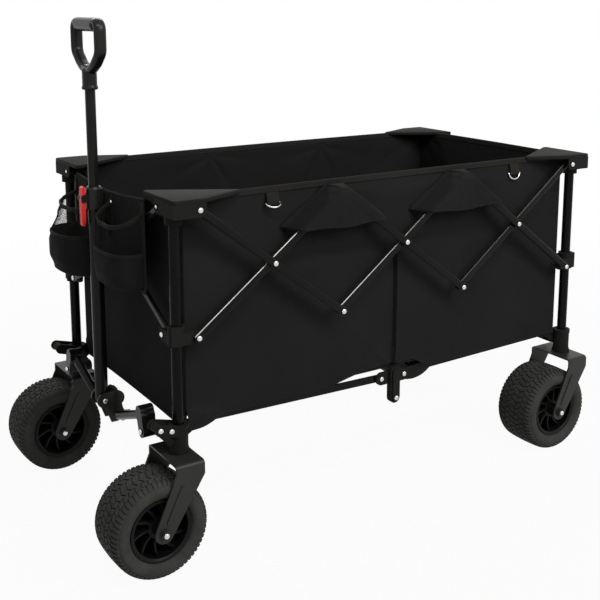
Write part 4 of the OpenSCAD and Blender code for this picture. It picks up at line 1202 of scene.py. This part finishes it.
# %% Hang the pouches
for side, s in SIDES.items():
    skin, back, net = pouch_skin(side), pouch_back(side), pouch_net(side)
    trims, studs = pouch_trims(side), pouch_studs(side)
    for piece in [skin, back, net, *trims, studs]:
        hang(piece, f"post_f{side}_body", "ring_steel" if piece == studs else "fabric")
        follow_width(piece)
    BACK_TOP - POUCH_LOW[side]
    if side == "r":
        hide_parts("pouches")
print("pouches: 2, with", len(net.data.polygons), "net faces each")

# %% [markdown]
# The apron is the cloth that turns over the front bars, from the rim of the front wall down behind the
# pouches. Its turn is a line of points seen from the side, and it sags between the corner plates.

# %% Apron
APRON_X = POUCH_BACK + 0.0014
APRON_TURN = [(TUB_FRONT, 0.6130), (-0.4080, 0.6210), (-0.4170, 0.6290), (-0.4255, 0.6365), (-0.4315, 0.6405),
              (POUCH_BACK + 0.0010, 0.6390), (APRON_X, 0.6300), (APRON_X, 0.6200), (APRON_X, 0.6110)]


def apron_place(u, v):
    y = APRON_HALF * (2 * u - 1)
    x, z = along_line(APRON_TURN, v)
    return (x, y, z - (apron_sag(y) + 0.0007 * noise.noise(Vector((u * 9, v * 3, 5.0)))))


apron = sheet_piece("front_apron", 90, 28, apron_place, 0.0014)
edge = [Vector(apron_place(i / 60, 0.55)) + Vector((-0.0008, 0, 0.0002)) for i in range(61)]
apron_tape = tape_piece("front_apron_tape", edge, [(-1, 0, 0.6)] * 61, 0.0038, 0.0022, TAPE)
for piece in (apron, apron_tape):
    hang(piece, "post_fr_body", "fabric")
    follow_width(piece)
print("apron:", len(apron.data.polygons), "faces")

# %% [markdown]
# Bright D-rings for tie-down cords hang from short webbing tabs under the rim. The ring is a bent wire, so it
# is a thick curve along a D turned into a mesh. The tab is a loop of tape through it; each of its points has
# a place and the way it looks, both as (out, up). The rings near the handle are swung well out, the others
# only a little.


# %% Tie-down rings
RING_R, WIRE_R, RING_Z, BOW = 0.0150, 0.0016, 0.6245, 0.86
SWING = {1: math.radians(62), 2: math.radians(14)}
TAB_W, TAB_THICK = 0.0250, 0.0016
TAB_LOOP = [(-0.0030, 0.0190, -1, 0), (-0.0026, 0.0090, -1, 0), (-0.0030, 0, -1, -0.3),
            (-0.0012, -0.0032, -1, -1), (0.0020, -0.0032, 1, -1), (0.0032, 0, 1, -0.2),
            (0.0020, 0.0080, 1, 0.2), (-0.0010, 0.0190, 1, 0.4)]


def ring_path():
    """The outline of a D from the middle of its straight side, as (along, up): the bow, then that side."""
    turns = [math.pi * i / 24 for i in range(25)]
    bow = [(RING_R * math.cos(a), -RING_R * BOW * math.sin(a)) for a in turns]
    return bow + [(-RING_R + 2 * RING_R * i / 8, 0.0) for i in range(1, 8)]


def tie_ring(side, x, index):
    s = SIDES[side]
    y, swing, path = s * (TUB_Y + 0.0052), SWING[index], ring_path()
    curve = bpy.data.curves.new("ring_wire", "CURVE")
    curve.dimensions = "3D"
    curve.bevel_depth = WIRE_R
    curve.bevel_resolution = 4
    spline = curve.splines.new("POLY")
    spline.use_cyclic_u = True
    spline.points.add(len(path) - 1)
    for spot, (a, b) in zip(spline.points, path):
        spot.co = (x + a, y - s * b * math.sin(swing), RING_Z + b * math.cos(swing), 1)
    select_only(new_object("ring_wire", curve))
    bpy.ops.object.convert(target="MESH")
    ring = finished(bpy.context.object, f"tie_ring_{side}{index}", RING_STEEL, 60)
    loop = [(x, y + s * out, RING_Z + up) for out, up, _, _ in TAB_LOOP]
    ways = [(0, s * out, up) for _, _, out, up in TAB_LOOP]
    return ring, tape_piece(f"ring_tab_{side}{index}", loop, ways, TAB_W, TAB_THICK, TAPE)


for side in SIDES:
    for index, spans in ((1, 0.5), (2, 2.5)):
        ring, tab = tie_ring(side, pivot_x(spans) + 0.016, index)
        hang(ring, f"post_f{side}_body", "ring_steel")
        hang(tab, f"post_f{side}_body", "fabric")
        for piece in (ring, tab):
            follow_length(piece)
        if side == "r" and index == 1:
            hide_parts("tie_rings")
print("tie-down rings: 4, each", len(ring.data.polygons), "faces")

# %% [markdown]
# A white studio: the world and the floor look white to the camera, to reflections and through gaps, while
# plain soft lamps light the wagon. To all other rays the world is a dim grey.


# %% World
AMBIENT = 0.135
scene.view_settings.view_transform = "Standard"


def seen_directly(flow):
    """1 for the camera, for reflections and for sight through gaps, 0 for light that falls on the wagon."""
    rays = flow.add("ShaderNodeLightPath").socket.node.outputs
    seen = Flow(flow.tree, rays["Is Camera Ray"])
    for name in ("Is Glossy Ray", "Is Transmission Ray"):
        seen = flow.sum("MAXIMUM", seen, Flow(flow.tree, rays[name]))
    return seen


world = bpy.data.worlds.new("studio_world")
scene.world = world
world.use_nodes = True
backdrop = world.node_tree.nodes["Background"]
feed(backdrop, "Color", (1, 1, 1, 1))
feed(backdrop, "Strength", seen_directly(Flow(world.node_tree)).ramp(0, 1, AMBIENT, 1.0))
print("world: white to the eye,", AMBIENT, "as light")

# %% [markdown]
# The floor is a plane just below the wheels. It mixes a little real shade into its white near the wagon, so
# the wheels keep a faint shadow.

# %% Floor
FLOOR_GREY, SHADE_NEAR, SHADE_FAR, WHITE_NEAR = (0.60, 0.60, 0.60, 1), 0.9, 2.6, 0.95
select_only()
bpy.ops.mesh.primitive_plane_add(size=40, location=(0, 0, -0.0005))
floor = bpy.context.object
floor.name = "studio_floor"
floor_finish = bpy.data.materials.new("studio_floor")
floor_finish.use_nodes = True
tree = floor_finish.node_tree
tree.nodes.remove(tree.nodes["Principled BSDF"])
flow = Flow(tree)
shade = flow.add("ShaderNodeBsdfDiffuse", Color=FLOOR_GREY)
glow = flow.add("ShaderNodeEmission", Color=(1, 1, 1, 1), Strength=1.0)
where = flow.add("ShaderNodeTexCoord", out=3)
away = flow.add("ShaderNodeVectorMath", {"operation": "LENGTH"}, out=1, at0=where)
white = seen_directly(flow) * away.ramp(SHADE_NEAR, SHADE_FAR, WHITE_NEAR, 1.0)
mixed = flow.add("ShaderNodeMixShader", at0=white, at1=shade, at2=glow)
tree.links.new(mixed.socket, tree.nodes["Material Output"].inputs["Surface"])
floor.data.materials.append(floor_finish)
floor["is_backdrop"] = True
print("floor:", round(floor.dimensions.x), "m wide")

# %% [markdown]
# Three area lamps: a large one on the right of the wagon, and two long narrow ones high up on its right and
# left, which draw thin highlights along tubes and rims. Each has a place, an aim, a size and a power.

# %% Lamps
LAMPS = {"key_lamp": ((1.0, -3.2, 2.4), (0.1, 0, 0.4), (1.8, 1.4), 60),
         "edge_lamp": ((-0.3, -1.9, 2.9), (0, -0.2, 0.5), (2.6, 0.14), 34),
         "back_lamp": ((0.0, 2.3, 2.75), (0, -0.27, 0.5), (3.0, 0.30), 45)}
for name, (place, aim, size, power) in LAMPS.items():
    lamp = new_object(name, bpy.data.lights.new(name, "AREA"))
    lamp.data.shape = "RECTANGLE"
    lamp.data.size, lamp.data.size_y = size
    lamp.data.energy = power
    lamp.location = place
    lamp.rotation_euler = (Vector(aim) - Vector(place)).to_track_quat("-Z", "Y").to_euler()
print("lamps:", len(LAMPS))

# %% [markdown]
# Last, the CAD model's box and the dressed model's box are written side by side, so the dressing can be kept
# to the part's real size.

# %% Sizes and finish
low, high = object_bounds()
for label, least, most in (("cad", cad_low, cad_high), ("visual", low, high)):
    print(label, [round(b - a, 4) for a, b in zip(least, most)])
